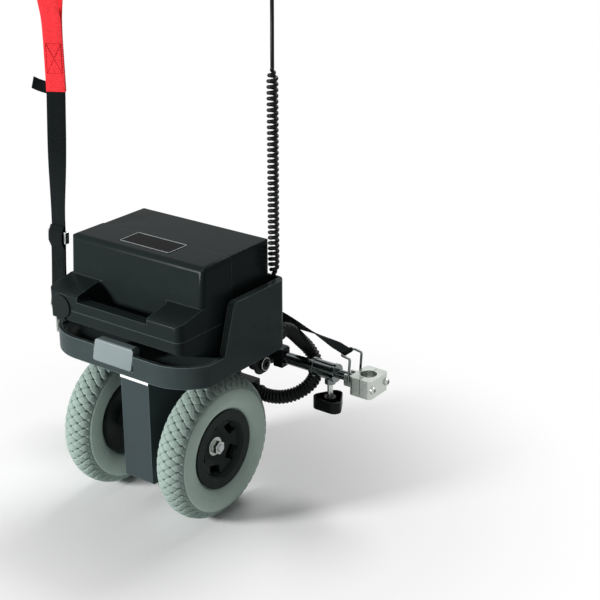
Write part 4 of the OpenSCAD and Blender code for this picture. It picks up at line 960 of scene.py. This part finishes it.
pivot = {"y": 67, "z": 182, "face": 91, "ring": (8.3, 9.5), "high": 0.6, "under": 0.2, "edge": (0.3, 0.2)}
hitchPad = {"x": (84.6, 98.4), "y": (94, 110), "z": (193.8, 196.2), "edge": 0.9}
for side, label in bothSides:
    a, b = pivot["ring"]
    u0, u1 = pivot["face"] - pivot["under"], pivot["face"] + pivot["high"]
    inward, down = pivot["edge"]
    profile = [(a, u0), (b, u0), (b, u1 - down), (b - inward, u1), (a + inward, u1), (a, u1 - down)]
    # a light zinc ring on the pivot boss: painted highlight of its chamfer
    ring = lathe("pivotRing" + label, [(r * mm, u * mm) for r, u in profile],
                 Vector((0, pivot["y"], pivot["z"])) * mm, side, 48, paint["zinc"])
    fasten(ring, "pack")
    xs = sorted(side * x for x in hitchPad["x"])
    low, high = zip(xs, hitchPad["y"], hitchPad["z"])
    pad = roundBox("hitchPad" + label, low, high, hitchPad["edge"], paint["slatePad"])
    fasten(pad, "crossbar")

lidMake = {"low": (37, 82.6, 114.5), "high": (66, 85.2, 145.5), "edge": 1.1}
lid = roundBox("terminalLid", lidMake["low"], lidMake["high"], lidMake["edge"], paint["blackPlastic"])
fasten(lid, "pack")

motorFace = {"y": 89, "z": 138, "ring": 26}
quarters = [math.radians(45 + 90 * k) for k in range(4)]
screws = {
    "motorScrews": {"size": 3.6, "body": "pack", "out": (0, 1, 0),
                    "spots": [(motorFace["ring"] * math.cos(a), motorFace["y"],
                               motorFace["z"] + motorFace["ring"] * math.sin(a)) for a in quarters]},
    "lidScrews": {"size": 2.1, "body": "pack", "out": (0, 1, 0),
                  "spots": [(x, 85.2, z) for x in (41, 62) for z in (118.5, 141.5)]},
    "plateScrews": {"size": 3.8, "body": "pack", "out": (0, 0, -1),
                    "spots": [(x, y, 222) for x in (-62, 62) for y in (-88, -30, 20)]},
    "controlScrews": {"size": 2.3, "body": "crossbar", "out": (0, 0, -1),
                      "spots": [(116, y, 704) for y in (28, 76)]},
    "clampBoltsLeft": {"size": 5.2, "body": "bar_end_left", "out": (-1, 0, 0),
                       "spots": [(-253, y, 181) for y in (85.5, 118.5)]},
    "clampBoltsRight": {"size": 5.2, "body": "bar_end_right", "out": (1, 0, 0),
                        "spots": [(253, y, 181) for y in (85.5, 118.5)]},
}
head = screwPiece()
for name, row in screws.items():
    out = Vector(row["out"])
    around = rightward if out.z else up
    spots = [(Vector(p) * mm, out, around) for p in row["spots"]]
    fasten(setOnPoints(name, head, spots, [row["size"] * mm] * 3, paint["zinc"]), row["body"])
dropHelper(head)
print("stage: trims and screws")


def stitchLine(a, b, out, pitch):
    # stitches from a to b, in millimetres
    count = max(1, round((b - a).length / pitch))
    along = (b - a).normalized()
    return [((a + (b - a) * (k + 0.5) / count) * mm, Vector(out), along) for k in range(count)]


def boxStitch(rows, out):
    # sewn rectangle with a cross in it, between two (y, z) ends of the band
    (y0, z0), (y1, z1) = rows
    x0, x1 = lift["x"] - sewn["half"], lift["x"] + sewn["half"]
    a, b, c, d = [Vector(p) for p in ((x0, y0, z0), (x1, y0, z0), (x1, y1, z1), (x0, y1, z1))]
    spots = []
    for p, q in ((a, b), (b, c), (c, d), (d, a), (a, c), (b, d)):
        spots += stitchLine(p, q, out, sewn["pitch"])
    return spots


sewn = {
    "pitch": 2.9, "size": (2.3, 0.85, 0.85), "half": 9.8,
    "liftFront": [(308, -1.83), (342, -1.73)], "liftBack": [(308, 1.83), (342, 1.73)], "liftLean": 0.07,
    "loopFront": [(12, -2.35), (50, -2.15)], "loopBack": [(12, 2.45), (50, 2.4)],
}
stitch = threadPiece()
size = [v * mm for v in sewn["size"]]
spots = boxStitch(besideLift(sewn["liftFront"]), (0, -1, sewn["liftLean"]))
spots += boxStitch(besideLift(sewn["liftBack"]), (0, 1, -sewn["liftLean"]))
sewing = setOnPoints("liftStitches", stitch, spots, size, paint["thread"])
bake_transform(sewing)
spots = []
for rows, out in ((sewn["loopFront"], (0, -1, 0)), (sewn["loopBack"], (0, 1, 0))):
    spots += boxStitch([(lift["y1"] + off, lift["z1"] + z) for z, off in rows], out)
spots = [(turned([spot])[0], turnAside(out), turnAside(along)) for spot, out, along in spots]
sewing = setOnPoints("loopStitches", stitch, spots, size, paint["threadRed"])
fasten(sewing, "crossbar")
dropHelper(stitch)
print("stage: stitches")


# CAD nodes that stay: finish, rounded edges in millimetres, shading

nodeLook = {
    "steel": {"drive_axle": 0.4, "worm_shaft": 0, "gear_bearings": 0.3},
    "bronze": {"worm_wheel": 0},
    "rimBlack": {"outer_rims": 0.6, "inner_rims": 0.6},
    "zinc": {"axle_washers": 0.3, "axle_nuts": 0.5, "strap_ring": 0, "strap_slider": 0.6, "charge_socket": 0.3,
             "frame_clamp_left": 0.6, "frame_clamp_right": 0.6, "clamp_cap_left": 0.6, "clamp_cap_right": 0.6,
             "stud_left": 0.4, "stud_right": 0.4},
    "chrome": {"crossbar_tube": 0.4, "bar_collars": 0.5, "rod_left": 0.5, "rod_right": 0.5,
               "bail_left": 0, "bail_right": 0},
    "castAlloy": {"gearbox_left": 0.8, "gearbox_right": 0.8, "controller_box": 0.4},
    "blackPaint": {"motor_can": 0.6, "motor_end_cap": 0.6, "base_plate": 0.4, "rear_brackets": 0.5,
                   "hitch_blocks": 0.8, "hitch_arms": 0.6, "pivot_shaft": 0.5},
    "legPaint": {"leg_channel": 0.5},
    "trayPlastic": {"tray_shell": 0.9},
    "buttonSilver": {"release_button": 0.8},
    "casePlastic": {"battery_lower_case": 0.8, "battery_front_cover": 1.2, "battery_rear_cover": 1.2},
    "panelGloss": {"battery_panel": 0.25},
    "cellCase": {"battery_cells": 1},
    "softRubber": {"cord_gland": 0.4, "charge_cap": 0.7},
    "blackPlastic": {"terminal_box": 1.2, "docking_plug": 0.5, "battery_socket": 0.4, "knob_left": 0.8,
                     "knob_right": 0.8, "control_case": 1.2, "control_clamp": 0.8, "speed_dial": 0.6},
    "leverRed": {"thumb_lever": 0.8},
}
edgeRule = {"flat": 0.4, "segments": 2, "roundFrom": 38, "shadeFrom": 32}
trayRule = {**edgeRule, "roundFrom": 24, "shadeFrom": 24}  # the tray's lip meets its walls at a low angle


def dressNode(name, look, edge):
    rule = trayRule if name == "tray_shell" else edgeRule
    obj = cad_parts[name]
    obj.data.materials.clear()
    obj.data.materials.append(paint[look])
    weld = obj.modifiers.new("weldFaces", "NODES")
    weld.node_group = weldTree
    if edge:
        flat = obj.modifiers.new("flatFaces", "DECIMATE")
        flat.decimate_type = "DISSOLVE"
        flat.angle_limit = math.radians(rule["flat"])
        bevel = obj.modifiers.new("roundEdges", "BEVEL")
        bevel.width = edge * mm
        bevel.segments = rule["segments"]
        bevel.limit_method = "ANGLE"
        bevel.angle_limit = math.radians(rule["roundFrom"])
        bevel.use_clamp_overlap = True
        bevel.miter_outer = "MITER_ARC"
    shade = obj.modifiers.new("shadeByAngle", "NODES")
    shade.node_group = shadeTree
    setInput(shade, "Angle", math.radians(rule["shadeFrom"]))
    even = obj.modifiers.new("evenNormals", "WEIGHTED_NORMAL")
    even.keep_sharp = True


for look, row in nodeLook.items():
    for nodeName, edge in row.items():
        dressNode(nodeName, look, edge)
print("stage: CAD nodes dressed")

print("stage: done")
